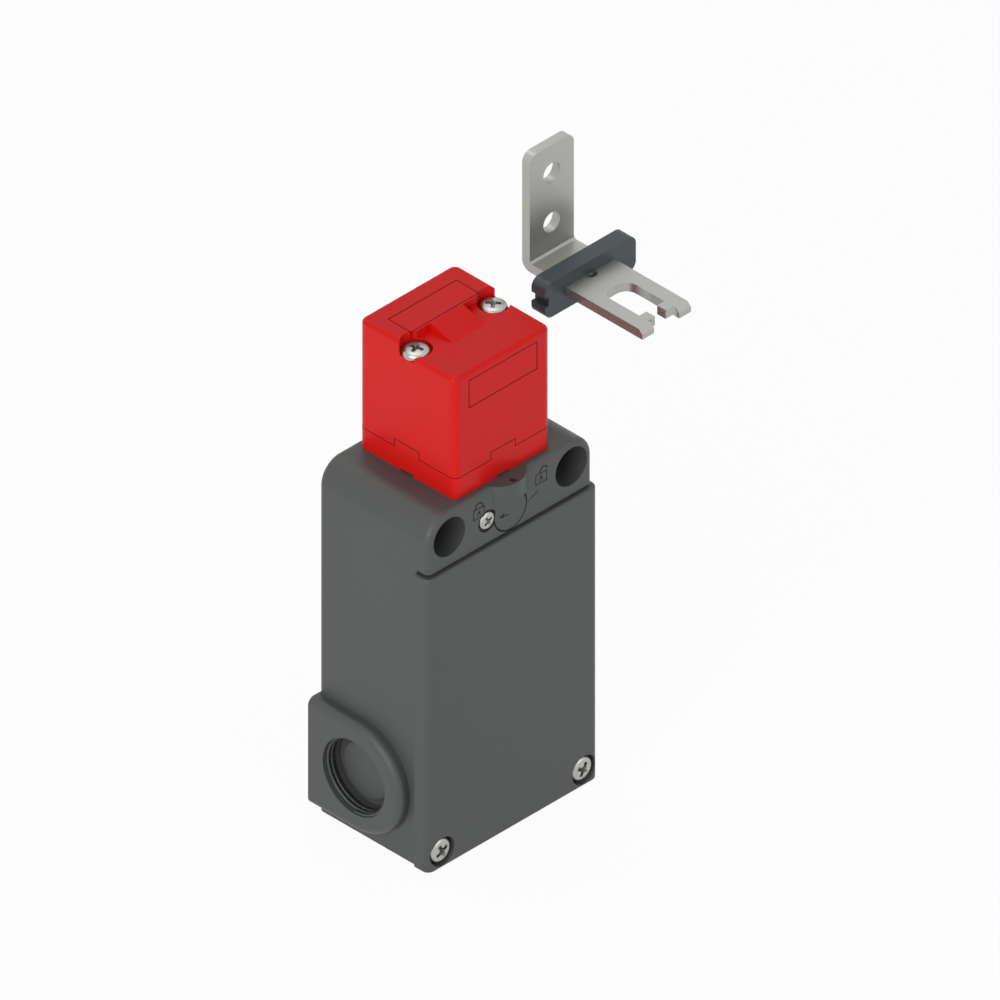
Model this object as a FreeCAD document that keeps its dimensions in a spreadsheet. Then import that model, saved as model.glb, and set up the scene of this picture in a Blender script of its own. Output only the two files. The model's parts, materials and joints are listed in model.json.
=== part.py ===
import FreeCAD, Part
import Sketcher
import math
import os
import re

from FreeCAD import Placement, Rotation, Vector

# Tongue interlock switch with a lockable key.
# Origin: centre of the housing's bottom face. +X right, +Z up, the cover faces -Y.
# Driving dimensions in millimetres, angles in degrees.
SIZES = {
    # housing
    "housing_width": 54, "housing_depth": 36, "housing_height": 98.6, "wall": 3.2,
    "shoulder_radius": 6.5, "edge_round": 1.6,
    "deck_bottom": 80.2, "deck_front_bottom": 83.9, "floor": 6.6, "sill_height": 10.4,
    "sill_back": -9.5, "rim_reach": 1.15, "rim_inset": 2.0,
    "rim_bottom": 1.9, "rim_top": 81.4,
    # fixing holes through the deck
    "fixing_pitch": 40, "fixing_height": 91.8, "fixing_head_radius": 5.2,
    "fixing_hole_radius": 2.65, "fixing_head_depth": 26,
    # cable entries
    "entry_height": 18.1, "entry_depth_place": 3, "entry_flange_radius": 15,
    "entry_flange_reach": 3.4, "entry_flange_round": 1.9, "entry_radius": 10.2,
    "entry_depth": 4.3, "knockout_radius": 7.4, "knockout_groove": 1.2, "knockout_step": 0.5,
    "bottom_entry_place": 0,
    # cover
    "cover_height": 83.2, "cover_proud": 1.0, "cover_wrap": 4.6, "cover_plate": 2.3,
    "cover_side": 2.25, "cover_floor": 1.7, "cover_top": 1.6, "cover_round": 2.0,
    "cover_corner_round": 1.2, "cover_screw_place": 23.2, "cover_screw_height": 4.5,
    "cover_column_radius": 4.4, "cover_head_pocket": 3.9, "cover_head_seat": 2.2,
    "cover_screw_head": 3.35, "cover_screw_rise": 2.1, "cover_screw_root": 1.4,
    "cover_screw_length": 6.1, "insert_radius": 2.6, "insert_bore": 1.75,
    "insert_length": 4.6, "tab_place": 14, "tab_width": 6, "tab_thick": 1.4,
    "tab_rise": 1.8, "tab_set_back": 1.95, "top_set_back": 3.45, "tab_clear": 0.6,
    "gasket_width": 1.1, "gasket_clear": 0.05,
    # head
    "head_width": 31.6, "head_axis": 0.2, "head_round": 2.0, "head_top_round": 1.1,
    "base_height": 5.9, "base_tab_width": 8, "base_tab_height": 2.1,
    "base_tab_thick": 1.5, "base_notch_width": 4.2, "base_notch_height": 0.5,
    "front_top": 34.1, "rear_top": 36.2, "step_place": 18.5, "ramp_width": 10.6,
    "ramp_start": 11, "head_screw_place": 12.65, "head_screw_pocket": 3.9,
    "head_screw_seat": 32.4, "head_screw_head": 3.3, "head_screw_rise": 2.0,
    "head_screw_root": 1.6, "head_screw_clear": 0.25, "head_cavity_width": 17.6,
    "head_cavity_depth": 21.6, "head_cavity_top": 31.2, "neck_radius": 6.0,
    "neck_end": 78.2, "neck_boss_rise": 1.6,
    "clip_thick": 0.8, "clip_radius": 7.2, "clip_gap": 0.2, "clip_groove": 0.7,
    "seal_radius": 9.2, "seal_width": 1.6, "seal_thick": 1.1,
    # slots for the key, with their plugs
    "slot_width": 22.3, "slot_height": 7.7, "slot_level": 28.1, "slot_recess": 2.2,
    "top_slot_height": 7.4, "top_slot_place": 22.8, "channel_width": 17.6,
    "channel_height": 5.0, "plug_gap": 0.15, "plug_spigot": 1.6,
    # cam drum and drive
    "drum_axis": 20.2, "drum_half_width": 8.3, "drum_hub_radius": 4.2,
    "drum_disc_radius": 6.2, "drum_disc_inner": 4.8, "axle_radius": 1.5,
    "axle_length": 21, "cam_rest": 8.0, "cam_stroke": 3.0, "cam_sweep": 80,
    "cam_inner": 1.75, "cam_outer": 3.9, "tooth_radius": 9.8, "tooth_root": 6.9,
    "tooth_half_angle": 7, "flank_clear": 0.4, "lug_inner": 1.55, "lug_radius": 7.6, "lug_start": 21,
    "lug_sweep": 36, "lug_clear": 0.15, "cam_clear": 0.1, "plunger_radius": 3.5, "plunger_bore": 1.6,
    "running_clear": 0.06, "plunger_bottom": 72.9, "arm_thick": 2.0, "arm_depth": 5.0,
    "arm_hub_radius": 5.0, "arm_reach": 20.0,
    # lock
    "lock_stroke": 3.5, "lock_rod_radius": 1.5, "lock_rod_bottom": 42.0,
    "lock_rod_tip": 12.0, "lock_arm_bottom": 67.3, "lock_arm_thick": 1.7,
    "finger_width": 4.0, "finger_thick": 2.4, "finger_place": -9.0, "finger_top": 82.9,
    # solenoid
    "yoke_width": 22.8, "yoke_thick": 2.0, "yoke_bottom": 36, "yoke_top": 66.6,
    "yoke_front": -9.0, "yoke_ear_bottom": 29, "bobbin_bore": 4.6, "bobbin_wall": 1.0,
    "bobbin_flange": 10.6, "bobbin_flange_thick": 1.2, "winding_radius": 9.6,
    "armature_radius": 4.5, "armature_bottom": 33.4, "armature_top": 48.4,
    "armature_well": 6.0, "armature_well_radius": 3.4, "pole_gap": 3.8,
    "spring_radius": 2.5, "spring_wire": 0.35,
    # contact blocks
    "block_width": 11, "block_place": 17.9, "block_front": -9.0, "block_bottom": 36,
    "block_top": 64, "carriage_width": 4.0, "carriage_depth": 8.0,
    "carriage_clear": 0.3, "carriage_bottom": 42.5, "bridge_level_one": 45.5,
    "bridge_pitch": 9.5, "bridge_thick": 0.8, "bridge_width": 3.0, "bridge_half": 4.6,
    "strip_inner": 2.7, "strip_outer": 5.0, "strip_back": 2.4, "contact_gap": 0.15,
    "pad_width": 4.6, "pad_height": 6.0, "pad_thick": 0.8, "terminal_head": 1.9,
    "terminal_rise": 1.4, "terminal_root": 0.9, "terminal_length": 4.0,
    "terminal_place": 3.0, "contact_spring_radius": 1.5,
    # small fittings on the back wall and the coil
    "mount_screw_head": 2.6, "mount_screw_rise": 1.8, "mount_screw_root": 1.3,
    "mount_screw_place": 8, "mount_screw_height": 32.5, "coil_terminal_width": 16,
    "coil_terminal_bottom": 28.4, "coil_terminal_front": -13.5,
    "coil_terminal_back": -5.8, "coil_screw_place": 4,
    "earth_height": 20, "earth_plate_size": 9, "earth_plate_thick": 1.0,
    # release dial
    "dial_rise": 5.5, "dial_face_radius": 5.1, "dial_flange_radius": 5.45,
    "dial_thick": 3.5, "dial_step": 1.0, "dial_clear": 0.05, "dial_shaft_radius": 3.0,
    "dial_spigot_radius": 2.0, "release_eccentric": 1.75, "release_radius": 4.5,
    "release_front": -10.6, "release_back": -7.6, "chamber_front": -10.9,
    "chamber_back": -7.3, "chamber_half": 6.6, "dial_seal_width": 1.0,
    "dial_screw_place": -7.5, "dial_screw_lift": 0.7, "dial_screw_head": 2.35,
    "dial_screw_rise": 1.3, "dial_screw_pocket": 3.0, "dial_screw_root": 1.0,
    "dial_screw_length": 6.0,
    # lip over the dial
    "lip_half_width": 5.3, "lip_reach": 2.45, "lip_bottom": 91.8,
    "lip_hole_radius": 0.85, "lip_hole_place": 0.95,
    # loose key
    "key_place": 42, "key_thick": 2.5, "key_leg_width": 14.5, "key_leg_height": 32.6,
    "key_leg_front": 10.4, "key_bend": 2.6, "key_level": 28.1, "key_corner": 2.5,
    "key_hole_radius": 2.75, "key_hole_low": 8.15, "key_hole_pitch": 14,
    "tongue_width": 16, "tongue_length": 25, "collar_front": -2.3, "collar_thick": 4.5,
    "collar_width": 29.8, "collar_height": 9.8, "collar_round": 2.4,
    "collar_notch_width": 2.5, "collar_notch_depth": 1.2, "tongue_behind": 1.6,
    "key_slot_width": 8.2, "key_slot_end": 17.3, "key_slot_corner": 3.2,
    "hook_near": 2.1, "hook_far": 4.9, "hook_gap": 3.5,
    "root_hole_radius": 1.7,
}

desk = FreeCAD.newDocument("sums").addObject("Spreadsheet::Sheet", "sums")
doc = FreeCAD.newDocument("interlock_switch")
sheet = doc.addObject("Spreadsheet::Sheet", "sizes")
for row, (alias, value) in enumerate(SIZES.items(), start=1):
    sheet.set(f"A{row}", alias)
    sheet.set(f"B{row}", str(value))
    sheet.setAlias(f"B{row}", alias)
doc.recompute()

NODES = []
PLANES = {"XY": "XY_Plane", "XZ": "XZ_Plane", "YZ": "YZ_Plane"}
TURN = {
    "+Z": Rotation(),
    "-Y": Rotation(Vector(1, 0, 0), 90),
    "+X": Rotation(Vector(0, 1, 0), 90),
}


def bound(text):
    """An expression in which every size is read from the sheet."""
    return re.sub(r"[a-z_]+", lambda m: "sizes." + m[0] if m[0] in SIZES else m[0], str(text))


def number(text):
    """The value of an expression, for geometry that is worked out in code."""
    words = re.sub(r"[a-z_]+", lambda m: f"{SIZES[m[0]]:.6f}" if m[0] in SIZES else m[0], str(text))
    desk.set("A1", "=" + words)
    desk.recompute()
    return float(desk.get("A1"))


def bind(obj, path, text):
    obj.setExpression(path, bound(text))


def keep(obj, node):
    """Name the finished sub-part. Its Label is the name of its file."""
    obj.Label = node
    NODES.append(obj)
    return obj


def unique(stem):
    return doc.getUniqueObjectName(stem)


# Part Design helpers


def new_body(name):
    return doc.addObject("PartDesign::Body", unique(name))


def sketch_on(body, plane, low):
    """A sketch parallel to an origin plane, at the coordinate low along the plane's normal."""
    found = [f for f in body.Origin.OriginFeatures if f.Role == PLANES[plane]]
    sketch = body.newObject("Sketcher::SketchObject", unique("outline"))
    sketch.AttachmentSupport = [(found[0], "")]
    sketch.MapMode = "FlatFace"
    bind(sketch, "AttachmentOffset.Base.z", low)
    return sketch


def draw_polygon(sketch, points):
    """Closed polygon whose corners are bound to pairs of expressions."""
    at = [Vector(number(u), number(v), 0) for u, v in points]
    count = len(at)
    for i in range(count):
        sketch.addGeometry(Part.LineSegment(at[i], at[(i + 1) % count]), False)
    from_sketch = sketch.GeometryCount - count
    for i in range(count):
        a, b = from_sketch + i, from_sketch + (i + 1) % count
        sketch.addConstraint(Sketcher.Constraint("Coincident", a, 2, b, 1))
    for i, (u, v) in enumerate(points):
        for kind, text, value in (("DistanceX", u, at[i].x), ("DistanceY", v, at[i].y)):
            made = sketch.addConstraint(
                Sketcher.Constraint(kind, -1, 1, from_sketch + i, 1, value)
            )
            bind(sketch, f"Constraints[{made}]", text)


def draw_rectangle(sketch, u, v):
    draw_polygon(sketch, [(u[0], v[0]), (u[1], v[0]), (u[1], v[1]), (u[0], v[1])])


def draw_circle(sketch, centre, radius):
    place = Vector(number(centre[0]), number(centre[1]), 0)
    geo = sketch.addGeometry(Part.Circle(place, Vector(0, 0, 1), number(radius)), False)
    made = sketch.addConstraint(Sketcher.Constraint("Radius", geo, number(radius)))
    bind(sketch, f"Constraints[{made}]", radius)
    for kind, text, value in (("DistanceX", centre[0], place.x), ("DistanceY", centre[1], place.y)):
        made = sketch.addConstraint(Sketcher.Constraint(kind, -1, 1, geo, 3, value))
        bind(sketch, f"Constraints[{made}]", text)


def span_on(plane, span):
    """Start and length along the plane's normal. The XZ plane's normal is -Y."""
    low, high = span
    start = f"-({high})" if plane == "XZ" else low
    return start, f"({high}) - ({low})"


def solid_step(body, kind, plane, span, draw):
    """Pad or pocket the outline that draw makes, between two coordinates."""
    start, length = span_on(plane, span)
    sketch = sketch_on(body, plane, start)
    draw(sketch)
    before = body.Shape.Volume if kind == "Pocket" else 0
    step = body.newObject(f"PartDesign::{kind}", unique(kind.lower()))
    step.Profile = sketch
    step.Length = number(length)
    bind(step, "Length", length)
    step.Reversed = kind == "Pocket"
    doc.recompute()
    if kind == "Pocket" and body.Shape.Volume >= before - 1e-6:
        raise RuntimeError(f"{step.Name} in {body.Name} cuts nothing")
    return step


def pad(body, plane, span, draw):
    return solid_step(body, "Pad", plane, span, draw)


def pocket(body, plane, span, draw):
    return solid_step(body, "Pocket", plane, span, draw)


def rectangle(u, v):
    return lambda sketch: draw_rectangle(sketch, u, v)


def polygon(points):
    return lambda sketch: draw_polygon(sketch, points)


def circle(centre, radius):
    return lambda sketch: draw_circle(sketch, centre, radius)


def fillet(body, radius, test):
    """Round the edges whose middle point passes the test."""
    tip = body.Tip
    names = []
    for i, edge in enumerate(tip.Shape.Edges, start=1):
        middle = edge.valueAt((edge.FirstParameter + edge.LastParameter) / 2)
        if test(middle, edge):
            names.append(f"Edge{i}")
    if not names:
        raise RuntimeError(f"no edge to round in {body.Name}")
    step = body.newObject("PartDesign::Fillet", unique("fillet"))
    step.Base = (tip, names)
    step.Radius = number(radius)
    bind(step, "Radius", radius)
    doc.recompute()
    if "Invalid" in step.State or "Error" in step.State:
        raise RuntimeError(f"{step.Name} in {body.Name} failed")
    return step


def runs_along(edge, axis):
    """True for a straight edge along an axis."""
    a, b = edge.Vertexes[0].Point, edge.Vertexes[-1].Point
    return edge.Curve.TypeId == "Part::GeomLine" and abs((b - a).normalize().dot(axis)) > 0.999


def near(a, b):
    return abs(a - b) < 0.02


def turned(name, profile, axis="+Z", at=("0", "0", "0")):
    """A body turned from a profile of (radius, height) points, then placed on its axis."""
    body = new_body(name)
    sketch = sketch_on(body, "XZ", "0")
    draw_polygon(sketch, profile)
    step = body.newObject("PartDesign::Revolution", unique("turn"))
    step.Profile = sketch
    step.ReferenceAxis = (sketch, ["V_Axis"])
    step.Angle = 360
    body.Placement = Placement(Vector(), TURN[axis])
    for letter, text in zip("xyz", at):
        bind(body, f"Placement.Base.{letter}", text)
    doc.recompute()
    return body


# Part workbench helpers


def block(name, x, y, z):
    """Box between low and high coordinates."""
    obj = doc.addObject("Part::Box", unique(name))
    for side, letter, (low, high) in zip(("Length", "Width", "Height"), "xyz", (x, y, z)):
        bind(obj, side, f"({high}) - ({low})")
        bind(obj, f"Placement.Base.{letter}", low)
    return obj


def rod(name, radius, length, at, axis="+Z"):
    obj = doc.addObject("Part::Cylinder", unique(name))
    obj.Placement = Placement(Vector(), TURN[axis])
    bind(obj, "Radius", radius)
    bind(obj, "Height", length)
    for letter, text in zip("xyz", at):
        bind(obj, f"Placement.Base.{letter}", text)
    return obj


def joined(name, shapes):
    obj = doc.addObject("Part::MultiFuse", unique(name))
    obj.Shapes = shapes
    obj.Refine = True
    return obj


def less(name, base, tools):
    """The base with every tool cut away."""
    obj = doc.addObject("Part::Cut", unique(name))
    obj.Base = base
    obj.Tool = tools[0] if len(tools) == 1 else joined(name + "_cuts", tools)
    obj.Refine = True
    return obj


def group(name, shapes):
    obj = doc.addObject("Part::Compound", unique(name))
    obj.Links = shapes
    return obj


def pan_screw(name, head, rise, root, length, at, axis="-Y"):
    """Pan head and shank. Its head stands out along the axis from the seat at the place given."""
    profile = [
        ("0", f"-({length})"), (root, f"-({length})"), (root, "0"), (head, "0"),
        (head, f"({rise})*0.45"), (f"({head})*0.86", f"({rise})*0.85"), (f"({head})*0.5", rise),
        ("0", rise),
    ]
    return turned(name, profile, axis, at)


def coil(name, radius, wire, height, turns, at):
    """Round-wire compression spring on a vertical axis."""
    helix = doc.addObject("Part::Helix", unique(name + "_path"))
    helix.Height = number(height)
    helix.Pitch = number(height) / turns
    bind(helix, "Radius", radius)
    bind(helix, "Height", height)
    bind(helix, "Pitch", f"({height})/{turns}")
    ring = doc.addObject("Part::Circle", unique(name + "_wire"))
    bind(ring, "Radius", wire)
    ring.Placement = Placement(Vector(), TURN["-Y"])
    bind(ring, "Placement.Base.x", radius)
    sweep = doc.addObject("Part::Sweep", unique(name))
    sweep.Sections = [ring]
    sweep.Spine = (helix, [])
    sweep.Solid = True
    sweep.Frenet = True
    for letter, text in zip("xyz", at):
        bind(sweep, f"Placement.Base.{letter}", text)
    return sweep


# Places that several pieces share
HALF_WIDTH = "(housing_width/2)"
FRONT = "(-housing_depth/2)"
BACK = "(housing_depth/2)"
COVER_FRONT = f"({FRONT} - cover_proud)"
COVER_EDGE = f"({COVER_FRONT} + cover_wrap)"
SHOULDER = f"({COVER_EDGE} + 0.15)"
DIAL_HEIGHT = "(deck_front_bottom + dial_rise)"
DIAL_SCREW_HEIGHT = f"({DIAL_HEIGHT} + dial_screw_lift)"
RIM_FRONT = f"({SHOULDER} - rim_reach)"
RIM_HALF = f"({HALF_WIDTH} - rim_inset)"
CAVITY_HALF = f"({HALF_WIDTH} - wall)"
CAVITY_BACK = f"({BACK} - wall)"
HEAD_FRONT = "(head_axis - head_width/2)"
HEAD_BACK = "(head_axis + head_width/2)"
HEAD_HALF = "(head_width/2)"
DRUM_LEVEL = "(housing_height + drum_axis)"


def level(text):
    """A height above the housing's top, where the head stands."""
    return f"(housing_height + {text})"


# Housing

housing = new_body("housing")
pad(housing, "YZ", (f"-{HALF_WIDTH}", HALF_WIDTH), polygon([
    (BACK, "0"), (BACK, "housing_height"), (FRONT, "housing_height"),
    (FRONT, "deck_front_bottom"), (SHOULDER, "deck_front_bottom"), (SHOULDER, "0"),
]))
x_side, y_front, y_back = number(HALF_WIDTH), number(FRONT), number(BACK)
z_top, along_y, along_z = number("housing_height"), Vector(0, 1, 0), Vector(0, 0, 1)
fillet(housing, "shoulder_radius", lambda p, e: near(p.z, z_top) and near(abs(p.x), x_side))
fillet(housing, "edge_round", lambda p, e: runs_along(e, along_z) and (near(p.y, y_back)
       or near(p.y, y_front)) and near(abs(p.x), x_side))
pad(housing, "XY", ("lip_bottom", "housing_height"), circle(
    ("0", f"{FRONT} - lip_reach + (lip_half_width^2 + lip_reach^2)/(2*lip_reach)"),
    "(lip_half_width^2 + lip_reach^2)/(2*lip_reach)"))
pocket(housing, "YZ", ("-lip_half_width - 1", "lip_half_width + 1"), polygon([
    (FRONT, "lip_bottom"), (f"{FRONT} - 2*lip_reach", "lip_bottom + 2*lip_reach"),
    (f"{FRONT} - 2*lip_reach", "lip_bottom - 1"), (FRONT, "lip_bottom - 1"),
]))
pocket(housing, "XZ", (SHOULDER, "sill_back"), rectangle(
    (f"-{CAVITY_HALF}", CAVITY_HALF), ("sill_height", "deck_bottom")))
pocket(housing, "XZ", ("sill_back", CAVITY_BACK), rectangle(
    (f"-{CAVITY_HALF}", CAVITY_HALF), ("floor", "deck_bottom")))


def knockout_ring(centre):
    """Groove round a cable entry's knock-out."""
    def outline(sketch):
        draw_circle(sketch, centre, "entry_radius - knockout_step")
        draw_circle(sketch, centre, "knockout_radius")
    return outline


for side in (-1, 1):
    inner = f"{side}*({HALF_WIDTH} - 1)"
    outer = f"{side}*({HALF_WIDTH} + entry_flange_reach)"
    reach = (outer, inner) if side < 0 else (inner, outer)
    pad(housing, "YZ", reach, circle(("entry_depth_place", "entry_height"), "entry_flange_radius"))
    pad(housing, "YZ", reach, rectangle(
        ("entry_depth_place", BACK),
        ("entry_height - entry_flange_radius", "entry_height + entry_flange_radius")))
x_flange = number(f"{HALF_WIDTH} + entry_flange_reach")
fillet(housing, "entry_flange_round", lambda p, e: near(abs(p.x), x_flange)
       and not near(p.y, y_back))
for side in (-1, 1):
    mouth = f"{side}*({HALF_WIDTH} + entry_flange_reach)"
    face = f"{side}*({HALF_WIDTH} + entry_flange_reach - entry_depth)"
    reach = (mouth, face) if side < 0 else (face, mouth)
    pocket(housing, "YZ", reach, circle(("entry_depth_place", "entry_height"), "entry_radius"))
    end = f"{side}*({HALF_WIDTH} + entry_flange_reach - entry_depth - knockout_groove)"
    reach = (face, end) if side < 0 else (end, face)
    pocket(housing, "YZ", reach, knockout_ring(("entry_depth_place", "entry_height")))
pocket(housing, "XY", ("0", "entry_depth"), circle(("0", "bottom_entry_place"), "entry_radius"))
pocket(housing, "XY", ("entry_depth", "entry_depth + knockout_groove"),
       knockout_ring(("0", "bottom_entry_place")))


def rim_outline(sketch):
    draw_rectangle(sketch, (f"-{RIM_HALF}", RIM_HALF), ("rim_bottom", "rim_top"))
    draw_rectangle(sketch, (f"-{CAVITY_HALF}", CAVITY_HALF), ("sill_height", "deck_bottom"))


pad(housing, "XZ", (RIM_FRONT, SHOULDER), rim_outline)
for side in (-1, 1):
    place = f"{side}*cover_screw_place"
    fix = f"{side}*fixing_pitch/2"
    pocket(housing, "XZ", (f"{RIM_FRONT} - 1", SHOULDER),
           circle((place, "cover_screw_height"), "cover_column_radius + 0.4"))
    pocket(housing, "XZ", (SHOULDER, f"{SHOULDER} + insert_length"),
           circle((place, "cover_screw_height"), "insert_radius"))
    pocket(housing, "XZ", (FRONT, f"{FRONT} + fixing_head_depth"),
           circle((fix, "fixing_height"), "fixing_head_radius"))
    pocket(housing, "XZ", (f"{FRONT} + fixing_head_depth", BACK),
           circle((fix, "fixing_height"), "fixing_hole_radius"))
    pocket(housing, "XY", ("deck_front_bottom", "cover_height + tab_rise + tab_clear"), rectangle(
        (f"{side}*tab_place - tab_width/2 - tab_clear", f"{side}*tab_place + tab_width/2 + tab_clear"),
        (f"{COVER_FRONT} + tab_set_back - tab_clear/2",
         f"{COVER_FRONT} + tab_set_back + tab_thick + 1.5*tab_clear")))
pocket(housing, "XY", ("deck_bottom", "housing_height"),
       circle(("0", "head_axis"), "neck_radius + running_clear"))
pocket(housing, "XZ", (FRONT, f"{FRONT} + dial_thick"),
       circle(("0", DIAL_HEIGHT), "dial_flange_radius + dial_clear"))
pocket(housing, "XZ", (f"{FRONT} + dial_thick", "chamber_front"),
       circle(("0", DIAL_HEIGHT), "dial_shaft_radius + running_clear"))
pocket(housing, "XZ", ("chamber_front", "chamber_back"), rectangle(
    ("-chamber_half", "chamber_half"), ("deck_bottom", f"{DIAL_HEIGHT} + chamber_half")))
pocket(housing, "XZ", (FRONT, f"{FRONT} + dial_step - dial_clear"),
       circle(("dial_screw_place", DIAL_SCREW_HEIGHT), "dial_screw_pocket"))
pocket(housing, "XZ", (f"{FRONT} + dial_step - dial_clear", f"{FRONT} + dial_screw_length + 1"),
       circle(("dial_screw_place", DIAL_SCREW_HEIGHT), "dial_screw_root"))
pocket(housing, "XY", ("lip_bottom", "housing_height"),
       circle(("0", f"{FRONT} - lip_hole_place"), "lip_hole_radius"))
for place in ("-block_place", "-mount_screw_place", "mount_screw_place", "block_place"):
    pocket(housing, "XZ", (CAVITY_BACK, f"{BACK} - 0.8"),
           circle((place, "mount_screw_height"), "mount_screw_root"))
pocket(housing, "XZ", (CAVITY_BACK, f"{BACK} - 0.8"),
       circle(("0", "earth_height"), "mount_screw_root"))
keep(housing, "housing")

keep(group("cover_inserts", [
    turned("insert", [
        ("insert_bore", "-insert_length"), ("insert_radius", "-insert_length"),
        ("insert_radius", "0"), ("insert_bore", "0"),
    ], "-Y", (f"{side}*cover_screw_place", SHOULDER, "cover_screw_height"))
    for side in (-1, 1)
]), "cover_inserts")

# Cover

cover = new_body("cover")
COVER_HALF = f"({HALF_WIDTH} + cover_proud)"
COVER_INNER = f"({COVER_HALF} - cover_side)"
PLATE_BACK = f"({COVER_FRONT} + cover_plate)"
pad(cover, "XZ", (COVER_FRONT, COVER_EDGE), rectangle(
    (f"-{COVER_HALF}", COVER_HALF), ("0", "cover_height")))
x_cover, y_cover = number(COVER_HALF), number(COVER_FRONT)
fillet(cover, "cover_round", lambda p, e: runs_along(e, along_z) and near(p.y, y_cover))
fillet(cover, "cover_corner_round*0.5", lambda p, e: near(p.y, y_cover) and abs(p.x) < 5)
pocket(cover, "XZ", (PLATE_BACK, COVER_EDGE), rectangle(
    (f"-{COVER_INNER}", COVER_INNER), ("cover_floor", "cover_height - cover_top")))
# the top wall stops short of the rim, which it would meet when the cover tilts out
pocket(cover, "XZ", (f"{COVER_FRONT} + top_set_back", COVER_EDGE), rectangle(
    (f"-{COVER_INNER}", COVER_INNER), ("cover_height - cover_top - 0.5", "cover_height")))
for side in (-1, 1):
    place = f"{side}*cover_screw_place"
    pad(cover, "XZ", (PLATE_BACK, f"{SHOULDER} - 0.05"),
        circle((place, "cover_screw_height + 0.4"), "cover_column_radius - 0.4"))
    pocket(cover, "XZ", (COVER_FRONT, f"{COVER_FRONT} + cover_head_seat"),
           circle((place, "cover_screw_height"), "cover_head_pocket"))
    pocket(cover, "XZ", (f"{COVER_FRONT} + cover_head_seat", SHOULDER),
           circle((place, "cover_screw_height"), "cover_screw_root + 0.3"))
    pad(cover, "XY", ("cover_height - cover_top", "cover_height + tab_rise"), rectangle(
        (f"{side}*tab_place - tab_width/2", f"{side}*tab_place + tab_width/2"),
        (f"{COVER_FRONT} + tab_set_back", f"{COVER_FRONT} + tab_set_back + tab_thick")))
keep(cover, "cover")

keep(less("cover_gasket", block(
    "gasket_outer", (f"-{RIM_HALF} + gasket_clear", f"{RIM_HALF} - gasket_clear"),
    (PLATE_BACK, RIM_FRONT), ("sill_height - 1.5", "rim_top - gasket_clear")), [block(
        "gasket_inner", (f"-{RIM_HALF} + gasket_width", f"{RIM_HALF} - gasket_width"),
        (PLATE_BACK, RIM_FRONT), ("sill_height - 0.2", "rim_top - gasket_width"))]),
     "cover_gasket")

keep(group("cover_screws", [
    pan_screw("cover_screw", "cover_screw_head", "cover_screw_rise", "cover_screw_root",
              "cover_screw_length", (f"{side}*cover_screw_place",
                                     f"{COVER_FRONT} + cover_head_seat", "cover_screw_height"))
    for side in (-1, 1)
]), "cover_screws")

# Head base with its neck

base = new_body("head_base")
pad(base, "XY", ("housing_height", level("base_height")), rectangle(
    (f"-{HEAD_HALF}", HEAD_HALF), (HEAD_FRONT, HEAD_BACK)))
fillet(base, "head_round", lambda p, e: runs_along(e, along_z))
for low, high, across in (
        (HEAD_FRONT, f"{HEAD_FRONT} + base_tab_thick", False),
        (f"{HEAD_BACK} - base_tab_thick", HEAD_BACK, False),
        (f"-{HEAD_HALF}", f"-{HEAD_HALF} + base_tab_thick", True),
        (f"{HEAD_HALF} - base_tab_thick", HEAD_HALF, True)):
    middle = "head_axis" if across else "0"
    half = (f"{middle} - base_tab_width/2", f"{middle} + base_tab_width/2")
    nick = (f"{middle} - base_notch_width/2", f"{middle} + base_notch_width/2")
    pad(base, "XY", ("housing_height", level("base_height + base_tab_height")),
        rectangle((low, high), half) if across else rectangle(half, (low, high)))
    pocket(base, "XY", ("housing_height", level("base_notch_height")),
           rectangle((low, high), nick) if across else rectangle(nick, (low, high)))
pad(base, "XY", (level("base_height"), level("base_height + neck_boss_rise")),
    circle(("0", "head_axis"), "neck_radius"))
pad(base, "XY", ("neck_end", "housing_height"), circle(("0", "head_axis"), "neck_radius"))
pocket(base, "XY", ("neck_end", level("base_height + neck_boss_rise")),
       circle(("0", "head_axis"), "plunger_radius + running_clear"))


def seal_groove(sketch):
    draw_circle(sketch, ("0", "head_axis"), "seal_radius + seal_width")
    draw_circle(sketch, ("0", "head_axis"), "seal_radius")


def clip_groove(sketch):
    draw_circle(sketch, ("0", "head_axis"), "neck_radius + 1")
    draw_circle(sketch, ("0", "head_axis"), "neck_radius - clip_groove")


pocket(base, "XY", ("housing_height", level("seal_thick")), seal_groove)
pocket(base, "XY", ("deck_bottom - clip_gap - clip_thick", "deck_bottom - clip_gap"), clip_groove)
for side in (-1, 1):
    pocket(base, "XY", (level("seal_thick"), level("base_height + base_tab_height")),
           circle((f"{side}*head_screw_place", "head_axis"), "head_screw_root"))
keep(base, "head_base")

keep(turned("head_seal", [
    ("seal_radius", "0"), ("seal_radius + seal_width", "0"),
    ("seal_radius + seal_width", "seal_thick"), ("seal_radius", "seal_thick"),
], "+Z", ("0", "head_axis", "housing_height")), "head_seal")

clip_ring = less("clip_ring", rod("clip_outer", "clip_radius", "clip_thick", (
    "0", "head_axis", "deck_bottom - clip_gap - clip_thick")), [
        rod("clip_inner", "neck_radius - clip_groove", "clip_thick", (
            "0", "head_axis", "deck_bottom - clip_gap - clip_thick")),
        block("clip_mouth", ("-neck_radius*0.6", "neck_radius*0.6"),
              ("head_axis", "head_axis + 2*clip_radius"),
              ("deck_bottom - clip_gap - clip_thick", "deck_bottom - clip_gap"))])
keep(clip_ring, "head_clip")

# Head shell

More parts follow.
